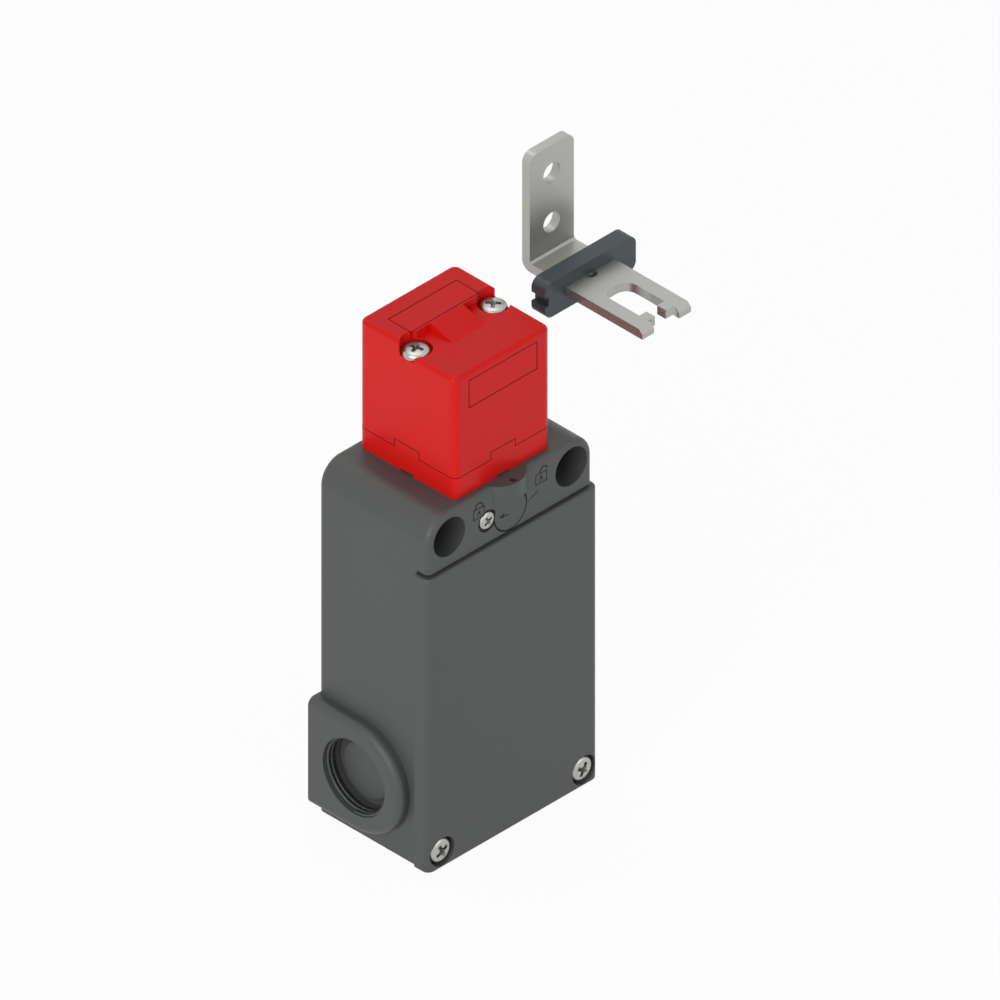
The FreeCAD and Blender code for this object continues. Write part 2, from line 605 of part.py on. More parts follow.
shell = new_body("head_shell")
STEP_Y = f"({HEAD_FRONT} + step_place)"
SLOT_LOW, SLOT_HIGH = level("slot_level - slot_height/2"), level("slot_level + slot_height/2")
TOP_SLOT = f"({HEAD_FRONT} + top_slot_place)"
SEAT = level("head_screw_seat")
pad(shell, "XY", (level("base_height"), level("rear_top")), rectangle(
    (f"-{HEAD_HALF}", HEAD_HALF), (HEAD_FRONT, HEAD_BACK)))
fillet(shell, "head_round", lambda p, e: runs_along(e, along_z))
pocket(shell, "XZ", (HEAD_FRONT, STEP_Y), rectangle(
    (f"-{HEAD_HALF} - 1", f"{HEAD_HALF} + 1"), (level("front_top"), level("rear_top"))))
z_front, z_rear = number(level("front_top")), number(level("rear_top"))
y_step, y_head = number(STEP_Y), number(HEAD_FRONT)
fillet(shell, "head_top_round", lambda p, e: (near(p.z, z_front) and not near(p.y, y_step))
       or (near(p.z, z_rear) and not near(p.y, y_step)))
pad(shell, "YZ", ("-ramp_width/2", "ramp_width/2"), polygon([
    (STEP_Y, level("front_top - 0.5")), (STEP_Y, level("rear_top")),
    (f"{HEAD_FRONT} + ramp_start", level("front_top")),
    (f"{HEAD_FRONT} + ramp_start", level("front_top - 0.5")),
]))
for low, high, across in (
        (HEAD_FRONT, f"{HEAD_FRONT} + base_tab_thick", False),
        (f"{HEAD_BACK} - base_tab_thick", HEAD_BACK, False),
        (f"-{HEAD_HALF}", f"-{HEAD_HALF} + base_tab_thick", True),
        (f"{HEAD_HALF} - base_tab_thick", HEAD_HALF, True)):
    middle = "head_axis" if across else "0"
    half = (f"{middle} - base_tab_width/2", f"{middle} + base_tab_width/2")
    pocket(shell, "XY", (level("base_height"), level("base_height + base_tab_height")),
           rectangle((low, high), half) if across else rectangle(half, (low, high)))
pocket(shell, "XY", (level("base_height"), level("head_cavity_top")), rectangle(
    ("-head_cavity_width/2", "head_cavity_width/2"),
    ("head_axis - head_cavity_depth/2", "head_axis + head_cavity_depth/2")))
pocket(shell, "XZ", (HEAD_FRONT, f"{HEAD_FRONT} + slot_recess"), rectangle(
    ("-slot_width/2", "slot_width/2"), (SLOT_LOW, SLOT_HIGH)))
pocket(shell, "XZ", (f"{HEAD_FRONT} + slot_recess", "head_axis - head_cavity_depth/2"), rectangle(
    ("-channel_width/2", "channel_width/2"),
    (level("slot_level - channel_height/2"), level("slot_level + channel_height/2"))))
pocket(shell, "XY", (level("rear_top - slot_recess"), level("rear_top")), rectangle(
    ("-slot_width/2", "slot_width/2"),
    (f"{TOP_SLOT} - top_slot_height/2", f"{TOP_SLOT} + top_slot_height/2")))
pocket(shell, "XY", (level("head_cavity_top"), level("rear_top - slot_recess")), rectangle(
    ("-channel_width/2", "channel_width/2"),
    (f"{TOP_SLOT} - channel_height/2", f"{TOP_SLOT} + channel_height/2")))
for side in (-1, 1):
    place = (f"{side}*head_screw_place", "head_axis")
    pocket(shell, "XY", (SEAT, level("rear_top + 1")), circle(place, "head_screw_pocket"))
    pocket(shell, "XY", (level("base_height"), SEAT),
           circle(place, "head_screw_root + head_screw_clear"))
pocket(shell, "YZ", ("-axle_length/2", "axle_length/2"),
       circle(("head_axis", DRUM_LEVEL), "axle_radius"))
keep(shell, "head_shell")

keep(group("head_screws", [
    pan_screw("head_screw", "head_screw_head", "head_screw_rise", "head_screw_root",
              "head_screw_seat - seal_thick", (f"{side}*head_screw_place", "head_axis", SEAT),
              "+Z")
    for side in (-1, 1)
]), "head_screws")

keep(rod("drum_axle", "axle_radius", "axle_length", (
    "-axle_length/2", "head_axis", DRUM_LEVEL), "+X"), "drum_axle")

# Plugs of the two key slots


def slot_plug(node, plane, out, face, u_middle, v_middle, height):
    """Plate with a bevelled face in the recess, and a spigot in the channel behind it."""
    body = new_body(node)
    sign = "-" if out < 0 else "+"
    floor = f"{face} {'+' if out < 0 else '-'} slot_recess"
    front = f"{face} {sign} 0"
    spans = [(front, floor), (floor, f"{floor} {'+' if out < 0 else '-'} plug_spigot")]
    halves = [("slot_width", height), ("channel_width", "channel_height")]
    for span, (wide, tall) in zip(spans, halves):
        pad(body, plane, span if out < 0 else span[::-1], rectangle(
            (f"{u_middle} - {wide}/2 + plug_gap", f"{u_middle} + {wide}/2 - plug_gap"),
            (f"{v_middle} - {tall}/2 + plug_gap", f"{v_middle} + {tall}/2 - plug_gap")))
    keep(body, node)


slot_plug("slot_plug_front", "XZ", -1, HEAD_FRONT, "0", level("slot_level"), "slot_height")
slot_plug("slot_plug_top", "XY", 1, level("rear_top"), "0", TOP_SLOT, "top_slot_height")

# Cam drum. Below the axle its two cams are involutes, so that the flat plunger under
# them falls and rises in proportion to the drum's turn.


def drum_point(radius, angle):
    """A point of the drum's section: the angle is counted from straight down towards +Y."""
    turn = math.radians(angle)
    return Vector(0, number("head_axis") + radius * math.sin(turn),
                  number(DRUM_LEVEL) - radius * math.cos(turn))


def cam_outline():
    """Involute below, then a rim with four driving teeth over the top."""
    sweep = math.radians(SIZES["cam_sweep"])
    base_radius = SIZES["cam_stroke"] / sweep
    steps = 8
    involute = []
    for i in range(steps + 1):
        turn = sweep * i / steps
        reach = SIZES["cam_rest"] - base_radius * turn
        spread = math.degrees(math.atan2(-base_radius, reach))
        involute.append(drum_point(math.hypot(reach, base_radius), math.degrees(turn) + spread))
    curve = Part.BSplineCurve()
    curve.interpolate(involute)
    tip, root, half = SIZES["tooth_radius"], SIZES["tooth_root"], SIZES["tooth_half_angle"]
    # at the end of the turn the first tooth stands upright just behind the plunger
    flank = SIZES["plunger_radius"] + SIZES["flank_clear"]
    low_face = SIZES["cam_rest"] - SIZES["cam_stroke"]
    flank_foot = drum_point(math.hypot(flank, low_face),
                            SIZES["cam_sweep"] + math.degrees(math.atan2(flank, low_face)))
    first_low = SIZES["cam_sweep"] + math.degrees(math.asin(flank / tip))
    teeth = [(first_low, 120), (151.7 - half, 151.7 + half), (201.7 - half, 201.7 + half),
             (241.7 - half, 241.7 + half)]
    edges = [curve.toShape()]
    last = involute[-1]
    for i, (low, high) in enumerate(teeth):
        foot = flank_foot if i == 0 else last
        if i == 0:
            edges.append(Part.makeLine(last, foot))
        edges.append(Part.makeLine(foot, drum_point(tip, low)))
        middle = drum_point(tip, (low + high) / 2)
        edges.append(Part.Arc(drum_point(tip, low), middle, drum_point(tip, high)).toShape())
        last = drum_point(root, high)
        edges.append(Part.makeLine(drum_point(tip, high), last))
        if i < len(teeth) - 1:
            nxt = teeth[i + 1][0]
            arc = Part.Arc(last, drum_point(root, (high + nxt) / 2), drum_point(root, nxt))
            edges.append(arc.toShape())
            last = drum_point(root, nxt)
    rest = math.hypot(SIZES["cam_rest"], base_radius)
    start_angle = 360 - math.degrees(math.atan2(base_radius, SIZES["cam_rest"]))
    first = drum_point(rest, 290)
    edges.append(Part.makeLine(last, first))
    edges.append(Part.Arc(first, drum_point(rest, (290 + start_angle) / 2), involute[0]).toShape())
    kept = [e for e in edges if e.Length > 1e-6]
    return Part.Face(Part.Wire(Part.__sortEdges__(kept)))


def lug_outline():
    """Sector on the hub that the lock rod stops."""
    low, sweep = SIZES["lug_start"], SIZES["lug_sweep"]
    a, b, c = (drum_point(SIZES["lug_radius"], low + sweep * share) for share in (0, 0.5, 1))
    centre = drum_point(0, 0)
    return Part.Face(Part.Wire([
        Part.makeLine(centre, a), Part.Arc(a, b, c).toShape(), Part.makeLine(c, centre)]))


def along_drum(face, low, high):
    moved = face.copy()
    moved.translate(Vector(low, 0, 0))
    return moved.extrude(Vector(high - low, 0, 0))


def drum_disc(radius, low, high):
    return Part.makeCylinder(radius, high - low, drum_point(0, 0) + Vector(low, 0, 0),
                             Vector(1, 0, 0))


half_drum = SIZES["drum_half_width"]
drum_shape = drum_disc(SIZES["drum_hub_radius"], -half_drum, half_drum)
for side in (-1, 1):
    cam_span = sorted((side * SIZES["cam_inner"], side * SIZES["cam_outer"]))
    disc_span = sorted((side * SIZES["drum_disc_inner"], side * half_drum))
    drum_shape = drum_shape.fuse(along_drum(cam_outline(), *cam_span))
    drum_shape = drum_shape.fuse(drum_disc(SIZES["drum_disc_radius"], *disc_span))
drum_shape = drum_shape.fuse(along_drum(lug_outline(), -SIZES["lug_inner"], SIZES["lug_inner"]))
drum_shape = drum_shape.cut(drum_disc(SIZES["axle_radius"] + SIZES["running_clear"],
                                      -half_drum, half_drum)).removeSplitter()
cam_drum = doc.addObject("Part::Feature", "cam_drum")
cam_drum.Shape = drum_shape
keep(cam_drum, "cam_drum")

# Drive plunger with its arm to the left. Crossed slots in its top let the lug pass, however
# the head is turned.

CAM_FACE = f"({DRUM_LEVEL} - cam_rest - cam_clear)"
LEFT, RIGHT = "(-block_place)", "(block_place)"
plunger = less("plunger", joined("plunger_solid", [
    rod("plunger_tube", "plunger_radius", f"{CAM_FACE} - plunger_bottom",
        ("0", "head_axis", "plunger_bottom")),
    rod("plunger_hub", "arm_hub_radius", "arm_thick", ("0", "head_axis", "plunger_bottom")),
    block("plunger_arm", ("-arm_reach", "0"),
          ("head_axis - arm_depth/2", "head_axis + arm_depth/2"),
          ("plunger_bottom", "plunger_bottom + arm_thick"))]), [
    rod("plunger_hole", "plunger_bore", f"{CAM_FACE} - plunger_bottom",
        ("0", "head_axis", "plunger_bottom")),
    block("plunger_slot_one", ("-lug_inner - lug_clear", "lug_inner + lug_clear"),
          ("head_axis - plunger_radius", "head_axis + plunger_radius"),
          (f"{CAM_FACE} - cam_stroke", CAM_FACE)),
    block("plunger_slot_two", ("-plunger_radius", "plunger_radius"),
          ("head_axis - lug_inner - lug_clear", "head_axis + lug_inner + lug_clear"),
          (f"{CAM_FACE} - cam_stroke", CAM_FACE))])
keep(plunger, "drive_plunger")

# Lock rod, its arm and the armature

keep(turned("lock_rod", [
    ("0", "0"), ("lock_rod_radius", "0"),
    ("lock_rod_radius", "housing_height + lock_rod_tip - lock_rod_bottom - 0.5"),
    ("lock_rod_radius - 0.5", "housing_height + lock_rod_tip - lock_rod_bottom"),
    ("0", "housing_height + lock_rod_tip - lock_rod_bottom"),
], "+Z", ("0", "head_axis", "lock_rod_bottom")), "lock_rod")

LOCK_ARM_TOP = "(lock_arm_bottom + lock_arm_thick)"
lock_arm = less("lock_arm", joined("lock_arm_solid", [
    rod("lock_hub", "arm_hub_radius", "lock_arm_thick", ("0", "head_axis", "lock_arm_bottom")),
    block("lock_bar", ("0", "arm_reach"), ("head_axis - arm_depth/2", "head_axis + arm_depth/2"),
          ("lock_arm_bottom", LOCK_ARM_TOP)),
    block("finger_foot", ("-finger_width/2", "finger_width/2"),
          ("finger_place - finger_thick/2", "head_axis"), ("lock_arm_bottom", LOCK_ARM_TOP)),
    block("finger", ("-finger_width/2", "finger_width/2"),
          ("finger_place - finger_thick/2", "finger_place + finger_thick/2"),
          ("lock_arm_bottom", "finger_top"))]), [
    rod("lock_hub_hole", "lock_rod_radius", "lock_arm_thick",
        ("0", "head_axis", "lock_arm_bottom"))])
keep(lock_arm, "lock_arm")

keep(turned("armature", [
    ("0", "armature_bottom"), ("armature_radius - 0.6", "armature_bottom"),
    ("armature_radius", "armature_bottom + 0.6"), ("armature_radius", "armature_top"),
    ("armature_well_radius", "armature_top"),
    ("armature_well_radius", "armature_top - armature_well"),
    ("lock_rod_radius", "armature_top - armature_well"),
    ("lock_rod_radius", "lock_rod_bottom"), ("0", "lock_rod_bottom"),
], "+Z", ("0", "head_axis", "0")), "armature")

POLE_FACE = "(armature_top + pole_gap)"
WELL_FLOOR = "(armature_top - armature_well)"
keep(coil("armature_spring", "spring_radius", "spring_wire",
          f"{POLE_FACE} - {WELL_FLOOR} - 2*spring_wire", 5,
          ("0", "head_axis", f"{WELL_FLOOR} + spring_wire")), "armature_spring")

# Solenoid

YOKE_HALF = "(yoke_width/2)"
yoke = less("yoke", joined("yoke_solid", [
    block("yoke_back", (f"-{YOKE_HALF}", YOKE_HALF), (f"{CAVITY_BACK} - yoke_thick", CAVITY_BACK),
          ("yoke_ear_bottom", "yoke_top")),
    block("yoke_lid", (f"-{YOKE_HALF}", YOKE_HALF), ("yoke_front", CAVITY_BACK),
          ("yoke_top - yoke_thick", "yoke_top")),
    block("yoke_foot", (f"-{YOKE_HALF}", YOKE_HALF), ("yoke_front", CAVITY_BACK),
          ("yoke_bottom", "yoke_bottom + yoke_thick"))]), [
    rod("yoke_top_hole", "armature_radius", "yoke_thick",
        ("0", "head_axis", "yoke_top - yoke_thick")),
    rod("yoke_foot_hole", "armature_radius + 0.3", "yoke_thick",
        ("0", "head_axis", "yoke_bottom"))] + [
    rod("yoke_screw_hole", "mount_screw_root + 0.2", "yoke_thick",
        (f"{side}*mount_screw_place", CAVITY_BACK, "mount_screw_height"), "-Y")
    for side in (-1, 1)])
keep(yoke, "solenoid_yoke")

keep(turned("pole_core", [
    ("lock_rod_radius + 0.15", POLE_FACE), ("armature_radius", POLE_FACE),
    ("armature_radius", "yoke_top"), ("lock_rod_radius + 0.15", "yoke_top"),
], "+Z", ("0", "head_axis", "0")), "pole_core")

BOBBIN_LOW, BOBBIN_HIGH = "(yoke_bottom + yoke_thick)", "(yoke_top - yoke_thick)"
keep(turned("coil_bobbin", [
    ("bobbin_bore", BOBBIN_LOW), ("bobbin_flange", BOBBIN_LOW),
    ("bobbin_flange", f"{BOBBIN_LOW} + bobbin_flange_thick"),
    ("bobbin_bore + bobbin_wall", f"{BOBBIN_LOW} + bobbin_flange_thick"),
    ("bobbin_bore + bobbin_wall", f"{BOBBIN_HIGH} - bobbin_flange_thick"),
    ("bobbin_flange", f"{BOBBIN_HIGH} - bobbin_flange_thick"), ("bobbin_flange", BOBBIN_HIGH),
    ("bobbin_bore", BOBBIN_HIGH),
], "+Z", ("0", "head_axis", "0")), "coil_bobbin")

keep(turned("coil_winding", [
    ("bobbin_bore + bobbin_wall", f"{BOBBIN_LOW} + bobbin_flange_thick"),
    ("winding_radius", f"{BOBBIN_LOW} + bobbin_flange_thick"),
    ("winding_radius", f"{BOBBIN_HIGH} - bobbin_flange_thick"),
    ("bobbin_bore + bobbin_wall", f"{BOBBIN_HIGH} - bobbin_flange_thick"),
], "+Z", ("0", "head_axis", "0")), "coil_winding")

coil_terminal = less("coil_terminal", block(
    "coil_terminal_solid", ("-coil_terminal_width/2", "coil_terminal_width/2"),
    ("coil_terminal_front", "coil_terminal_back"), ("coil_terminal_bottom", "yoke_bottom")), [
    rod("coil_screw_hole", "terminal_root", "terminal_length",
        (f"{side}*coil_screw_place", "coil_terminal_front + terminal_length",
         "(coil_terminal_bottom + yoke_bottom)/2"), "-Y")
    for side in (-1, 1)])
keep(coil_terminal, "coil_terminal")

keep(group("coil_terminal_screws", [
    pan_screw("coil_screw", "terminal_head", "terminal_rise*0.6", "terminal_root",
              "terminal_length", (f"{side}*coil_screw_place", "coil_terminal_front",
                                  "(coil_terminal_bottom + yoke_bottom)/2"))
    for side in (-1, 1)
]), "coil_terminal_screws")

# Contact blocks with their carriages, bridges, strips and springs


def contact_module(side, middle, stroke, arm_face):
    """One switching block. Its carriage is lifted by a spring and follows the arm above it."""
    half = "(block_width/2)"
    channel = ("carriage_width/2 + carriage_clear", "carriage_depth/2 + carriage_clear")
    strips, screws, screw_holes, bridges, windows = [], [], [], [], []
    for i in range(2):
        low = f"(bridge_level_one + {i}*bridge_pitch)"
        rest_top = f"({low} + bridge_thick)"
        strip_low = f"({rest_top} + {stroke} + contact_gap)"
        bridge_box = ((f"{middle} - bridge_half", f"{middle} + bridge_half"),
                      ("head_axis - bridge_width/2", "head_axis + bridge_width/2"),
                      (low, rest_top))
        bridges.append(block(f"bridge_{side}", *bridge_box))
        windows.append(block(f"window_{side}", *bridge_box))
        for hand in (-1, 1):
            names = ("-strip_outer", "-strip_inner") if hand < 0 else ("strip_inner", "strip_outer")
            strip = block(f"strip_{side}", (f"{middle} + {names[0]}", f"{middle} + {names[1]}"),
                          ("block_front - pad_thick", "strip_back"),
                          (strip_low, f"{strip_low} + bridge_thick"))
            edge = f"{middle} + {hand}*terminal_place"
            tab = block(f"tab_{side}", (f"{edge} - pad_width/2", f"{edge} + pad_width/2"),
                        ("block_front - pad_thick", "block_front"),
                        (f"{strip_low} + bridge_thick - pad_height",
                         f"{strip_low} + bridge_thick"))
            at = (edge, "block_front", f"{strip_low} + bridge_thick - pad_height*0.6")
            strips.append(less(f"fixed_{side}", joined(f"fixed_solid_{side}", [strip, tab]), [
                rod(f"tab_hole_{side}", "terminal_root", "pad_thick*2",
                    (edge, "block_front + pad_thick*0.5", at[2]), "-Y")]))
            screws.append(pan_screw(
                f"terminal_screw_{side}", "terminal_head", "terminal_rise", "terminal_root",
                "terminal_length", (edge, "block_front - pad_thick", at[2])))
            screw_holes.append(rod(f"screw_hole_{side}", "terminal_root",
                                   "terminal_length - pad_thick",
                                   (edge, "block_front + terminal_length - pad_thick", at[2]),
                                   "-Y"))
    channel_low = "(carriage_bottom - 4.5)"
    cuts = [
        block(f"channel_{side}", (f"{middle} - ({channel[0]})", f"{middle} + {channel[0]}"),
              (f"head_axis - ({channel[1]})", f"head_axis + {channel[1]}"),
              (channel_low, "block_top")),
        block(f"cross_{side}", (f"{middle} - bridge_half - 0.3", f"{middle} + bridge_half + 0.3"),
              ("head_axis - bridge_width/2 - 0.4", "head_axis + bridge_width/2 + 0.4"),
              (channel_low, "block_top")),
    ]
    for i in range(2):
        strip_low = f"(bridge_level_one + {i}*bridge_pitch + bridge_thick + {stroke} + contact_gap)"
        for names in (("-strip_outer", "-strip_inner"), ("strip_inner", "strip_outer")):
            cuts.append(block(f"strip_slot_{side}",
                              (f"{middle} + {names[0]}", f"{middle} + {names[1]}"),
                              ("block_front", "strip_back"),
                              (strip_low, f"{strip_low} + bridge_thick")))
    cuts += screw_holes
    cuts.append(rod(f"ear_hole_{side}", "mount_screw_root + 0.2", "wall",
                    (middle, CAVITY_BACK, "mount_screw_height"), "-Y"))
    body = joined(f"block_solid_{side}", [
        block(f"block_box_{side}", (f"{middle} - {half}", f"{middle} + {half}"),
              ("block_front", CAVITY_BACK), ("block_bottom", "block_top")),
        block(f"block_ear_{side}", (f"{middle} - {half}", f"{middle} + {half}"),
              (f"{CAVITY_BACK} - yoke_thick", CAVITY_BACK), ("yoke_ear_bottom", "block_bottom"))])
    keep(less(f"contact_block_{side}", body, cuts), f"contact_block_{side}")
    carriage = less(f"carriage_{side}", block(
        f"carriage_bar_{side}", (f"{middle} - carriage_width/2", f"{middle} + carriage_width/2"),
        ("head_axis - carriage_depth/2", "head_axis + carriage_depth/2"),
        ("carriage_bottom", f"{arm_face} - 0.05")), windows)
    keep(carriage, f"carriage_{side}")
    keep(group(f"bridges_{side}", bridges), f"bridges_{side}")
    keep(group(f"fixed_contacts_{side}", strips), f"fixed_contacts_{side}")
    keep(group(f"terminal_screws_{side}", screws), f"terminal_screws_{side}")
    keep(coil(f"contact_spring_{side}", "contact_spring_radius", "spring_wire",
              "4.5 - 2*spring_wire", 3, (middle, "head_axis", f"{channel_low} + spring_wire")),
         f"contact_spring_{side}")


contact_module("left", LEFT, "cam_stroke", "plunger_bottom")
contact_module("right", RIGHT, "lock_stroke", "lock_arm_bottom")

keep(group("mount_screws", [
    pan_screw("mount_screw", "mount_screw_head", "mount_screw_rise", "mount_screw_root",
              "yoke_thick + wall - 0.8", (place, f"{CAVITY_BACK} - yoke_thick",
                                          "mount_screw_height"))
    for place in (LEFT, "-mount_screw_place", "mount_screw_place", RIGHT)
]), "mount_screws")

earth = less("earth_plate", block(
    "earth_solid", ("-earth_plate_size/2", "earth_plate_size/2"),
    (f"{CAVITY_BACK} - earth_plate_thick", CAVITY_BACK),
    ("earth_height - earth_plate_size/2", "earth_height + earth_plate_size/2")), [
    rod("earth_hole", "mount_screw_root", "earth_plate_thick", ("0", CAVITY_BACK, "earth_height"),
        "-Y")])
keep(earth, "earth_plate")
keep(pan_screw("earth_screw", "mount_screw_head", "mount_screw_rise", "mount_screw_root",
               "earth_plate_thick + wall - 0.8",
               ("0", f"{CAVITY_BACK} - earth_plate_thick", "earth_height")), "earth_screw")

# Release dial, its seal, its cam and the screw that keeps it

SHAFT_END = f"(release_front - {FRONT} - 0.1)"
dial = turned("release_dial", [
    ("0", "0"), ("dial_face_radius", "0"), ("dial_face_radius", "-dial_step"),
    ("dial_flange_radius", "-dial_step"), ("dial_flange_radius", "-dial_thick + 0.05"),
    ("dial_shaft_radius", "-dial_thick + 0.05"), ("dial_shaft_radius", "-dial_thick - 0.6"),
    ("dial_shaft_radius - 0.8", "-dial_thick - 0.6"),
    ("dial_shaft_radius - 0.8", "-dial_thick - 0.6 - dial_seal_width"),
    ("dial_shaft_radius", "-dial_thick - 0.6 - dial_seal_width"),
    ("dial_shaft_radius", f"-{SHAFT_END}"), ("dial_spigot_radius", f"-{SHAFT_END}"),
    ("dial_spigot_radius", f"{FRONT} - release_back"), ("0", f"{FRONT} - release_back"),
], "-Y", ("0", FRONT, DIAL_HEIGHT))
keep(dial, "release_dial")
keep(turned("dial_seal", [
    ("dial_shaft_radius - 0.8", "0"), ("dial_shaft_radius", "0"),
    ("dial_shaft_radius", "dial_seal_width"), ("dial_shaft_radius - 0.8", "dial_seal_width"),
], "-Y", ("0", f"{FRONT} + dial_thick + 0.6 + dial_seal_width", DIAL_HEIGHT)), "dial_seal")
keep(less("release_cam", rod(
    "release_disc", "release_radius", "release_back - release_front",
    ("0", "release_back", f"{DIAL_HEIGHT} + release_eccentric"), "-Y"), [
    rod("release_hole", "dial_spigot_radius", "release_back - release_front",
        ("0", "release_back", DIAL_HEIGHT), "-Y")]), "release_cam")
keep(pan_screw("dial_screw", "dial_screw_head", "dial_screw_rise", "dial_screw_root",
               "dial_screw_length", ("dial_screw_place", f"{FRONT} + dial_step - dial_clear",
                                     DIAL_SCREW_HEIGHT)), "dial_screw")

# Loose key

key = new_body("key_plate")
KEY_LOW = level("key_level - key_thick/2")
KEY_TOP = level("key_level + key_thick/2")
LEG_BACK = "(key_leg_front + key_thick)"
LEG_TOP = f"({KEY_LOW} + key_leg_height)"
COLLAR_BACK = "(collar_front + collar_thick)"
TIP = "(collar_front - tongue_length)"
pad(key, "YZ", ("key_place - key_leg_width/2", "key_place + key_leg_width/2"), polygon([
    (COLLAR_BACK, KEY_LOW), (LEG_BACK, KEY_LOW), (LEG_BACK, LEG_TOP),
    ("key_leg_front", LEG_TOP), ("key_leg_front", KEY_TOP), (COLLAR_BACK, KEY_TOP),
]))
key_low, key_top = number(KEY_LOW), number(KEY_TOP)
leg_back, leg_front, leg_top = number(LEG_BACK), number("key_leg_front"), number(LEG_TOP)
along_x = Vector(1, 0, 0)
fillet(key, "key_bend", lambda p, e: runs_along(e, along_x) and near(p.y, leg_back)
       and near(p.z, key_low))
fillet(key, "key_bend - key_thick + 0.9", lambda p, e: runs_along(e, along_x)
       and near(p.y, leg_front) and near(p.z, key_top))
fillet(key, "key_corner", lambda p, e: runs_along(e, along_y) and near(p.z, leg_top))


def tongue_outline(sketch):
    """Forked tongue with two hooks that face each other."""
    half, gap, slot = "tongue_width/2", "hook_gap/2", "key_slot_width/2"
    right = [
        (gap, f"{TIP} + hook_near"), (gap, f"{TIP} + hook_far"), (slot, f"{TIP} + hook_far"),
        (slot, f"{TIP} + key_slot_end"),
    ]
    outer = [("-", half, f"{COLLAR_BACK} + tongue_behind"), ("-", half, TIP),
             ("-", slot, TIP), ("-", slot, f"{TIP} + hook_near")]
    points = [(f"key_place {s} {u}", v) for s, u, v in outer]
    points += [(f"key_place - {u}", v) for u, v in right]
    points += [(f"key_place + {u}", v) for u, v in reversed(right)]
    points += [(f"key_place + {u}", v) for s, u, v in reversed(outer)]
    draw_polygon(sketch, points)


pad(key, "XY", (KEY_LOW, KEY_TOP), tongue_outline)
slot_end, tip_y = number(f"{TIP} + key_slot_end"), number(TIP)
behind = number(f"{COLLAR_BACK} + tongue_behind")
fillet(key, "key_slot_corner", lambda p, e: runs_along(e, along_z) and near(p.y, slot_end))
fillet(key, "(tongue_width - key_leg_width)*0.4", lambda p, e: runs_along(e, along_z) and near(p.y, behind)
       and near(abs(p.x - SIZES["key_place"]), SIZES["tongue_width"] / 2))
pocket(key, "XY", (KEY_LOW, KEY_TOP), circle(("key_place", "collar_front"), "root_hole_radius"))
for i in range(2):
    pocket(key, "XZ", ("key_leg_front", LEG_BACK), circle(
        ("key_place", f"{KEY_TOP} + key_hole_low + {i}*key_hole_pitch"), "key_hole_radius"))
keep(key, "key_plate")

collar = new_body("key_collar")
pad(collar, "XZ", ("collar_front", COLLAR_BACK), rectangle(
    ("key_place - collar_width/2", "key_place + collar_width/2"),
    (level("key_level - collar_height/2"), level("key_level + collar_height/2"))))
fillet(collar, "collar_round", lambda p, e: runs_along(e, along_y))
pocket(collar, "XZ", ("collar_front", COLLAR_BACK), rectangle(
    ("key_place - tongue_width/2", "key_place + tongue_width/2"), (KEY_LOW, KEY_TOP)))
pocket(collar, "XZ", ("collar_front", COLLAR_BACK), rectangle(
    ("key_place - collar_width/2", "key_place - collar_width/2 + collar_notch_depth"),
    (level("key_level - collar_notch_width/2"), level("key_level + collar_notch_width/2"))))
keep(collar, "key_collar")

# Check every object, then write one file for each sub-part

doc.recompute()
for obj in doc.Objects:
    if "Invalid" in obj.State or "Error" in obj.State:
        raise RuntimeError(f"{obj.Name} failed: {obj.State}")
os.makedirs("parts", exist_ok=True)
for obj in NODES:
    if obj.Shape.isNull() or not obj.Shape.isValid() or not obj.Shape.Solids:
        raise RuntimeError(f"{obj.Label} has no valid solid")
    obj.Shape.exportStep(f"parts/{obj.Label}.step")
    print(f"{obj.Label}: {len(obj.Shape.Solids)} solids, {obj.Shape.Volume:.1f} mm3")
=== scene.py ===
"""Tongue interlock switch: finishes, screws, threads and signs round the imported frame."""

import json
import logging
import math
from dataclasses import dataclass
from enum import Enum
from typing import Any, Iterable, Sequence

import bmesh
import bpy
from mathutils import Matrix, Vector


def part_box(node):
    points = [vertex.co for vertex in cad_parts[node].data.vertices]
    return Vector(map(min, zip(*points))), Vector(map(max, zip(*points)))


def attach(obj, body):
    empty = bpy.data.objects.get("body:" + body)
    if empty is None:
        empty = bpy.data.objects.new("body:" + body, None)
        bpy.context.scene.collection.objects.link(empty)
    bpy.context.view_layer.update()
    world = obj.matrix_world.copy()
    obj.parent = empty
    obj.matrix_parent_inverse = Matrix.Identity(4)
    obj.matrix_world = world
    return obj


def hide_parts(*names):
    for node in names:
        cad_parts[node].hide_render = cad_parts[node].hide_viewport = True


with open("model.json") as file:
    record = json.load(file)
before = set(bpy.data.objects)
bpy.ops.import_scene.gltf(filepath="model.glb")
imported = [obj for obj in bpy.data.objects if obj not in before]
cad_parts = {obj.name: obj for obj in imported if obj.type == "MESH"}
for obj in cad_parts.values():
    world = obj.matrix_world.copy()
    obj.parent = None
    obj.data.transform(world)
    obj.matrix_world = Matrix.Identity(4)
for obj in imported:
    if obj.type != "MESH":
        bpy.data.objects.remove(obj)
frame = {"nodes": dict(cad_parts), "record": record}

logging.basicConfig(level=logging.INFO, format="%(message)s")
LOG = logging.getLogger("interlock")

MM = 0.001
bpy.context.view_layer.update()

Colour = tuple[float, float, float]
Shade = tuple[float, float, float, float]
Stroke = list[tuple[float, float]]
Path = list[tuple[Vector, Vector]]

WHITE: Shade = (1.0, 1.0, 1.0, 1.0)
ON_AXIS = 1e-9
WELD = 1e-6
HEAD_SHARP = 32.0
PLATE_SHARP = 30.0


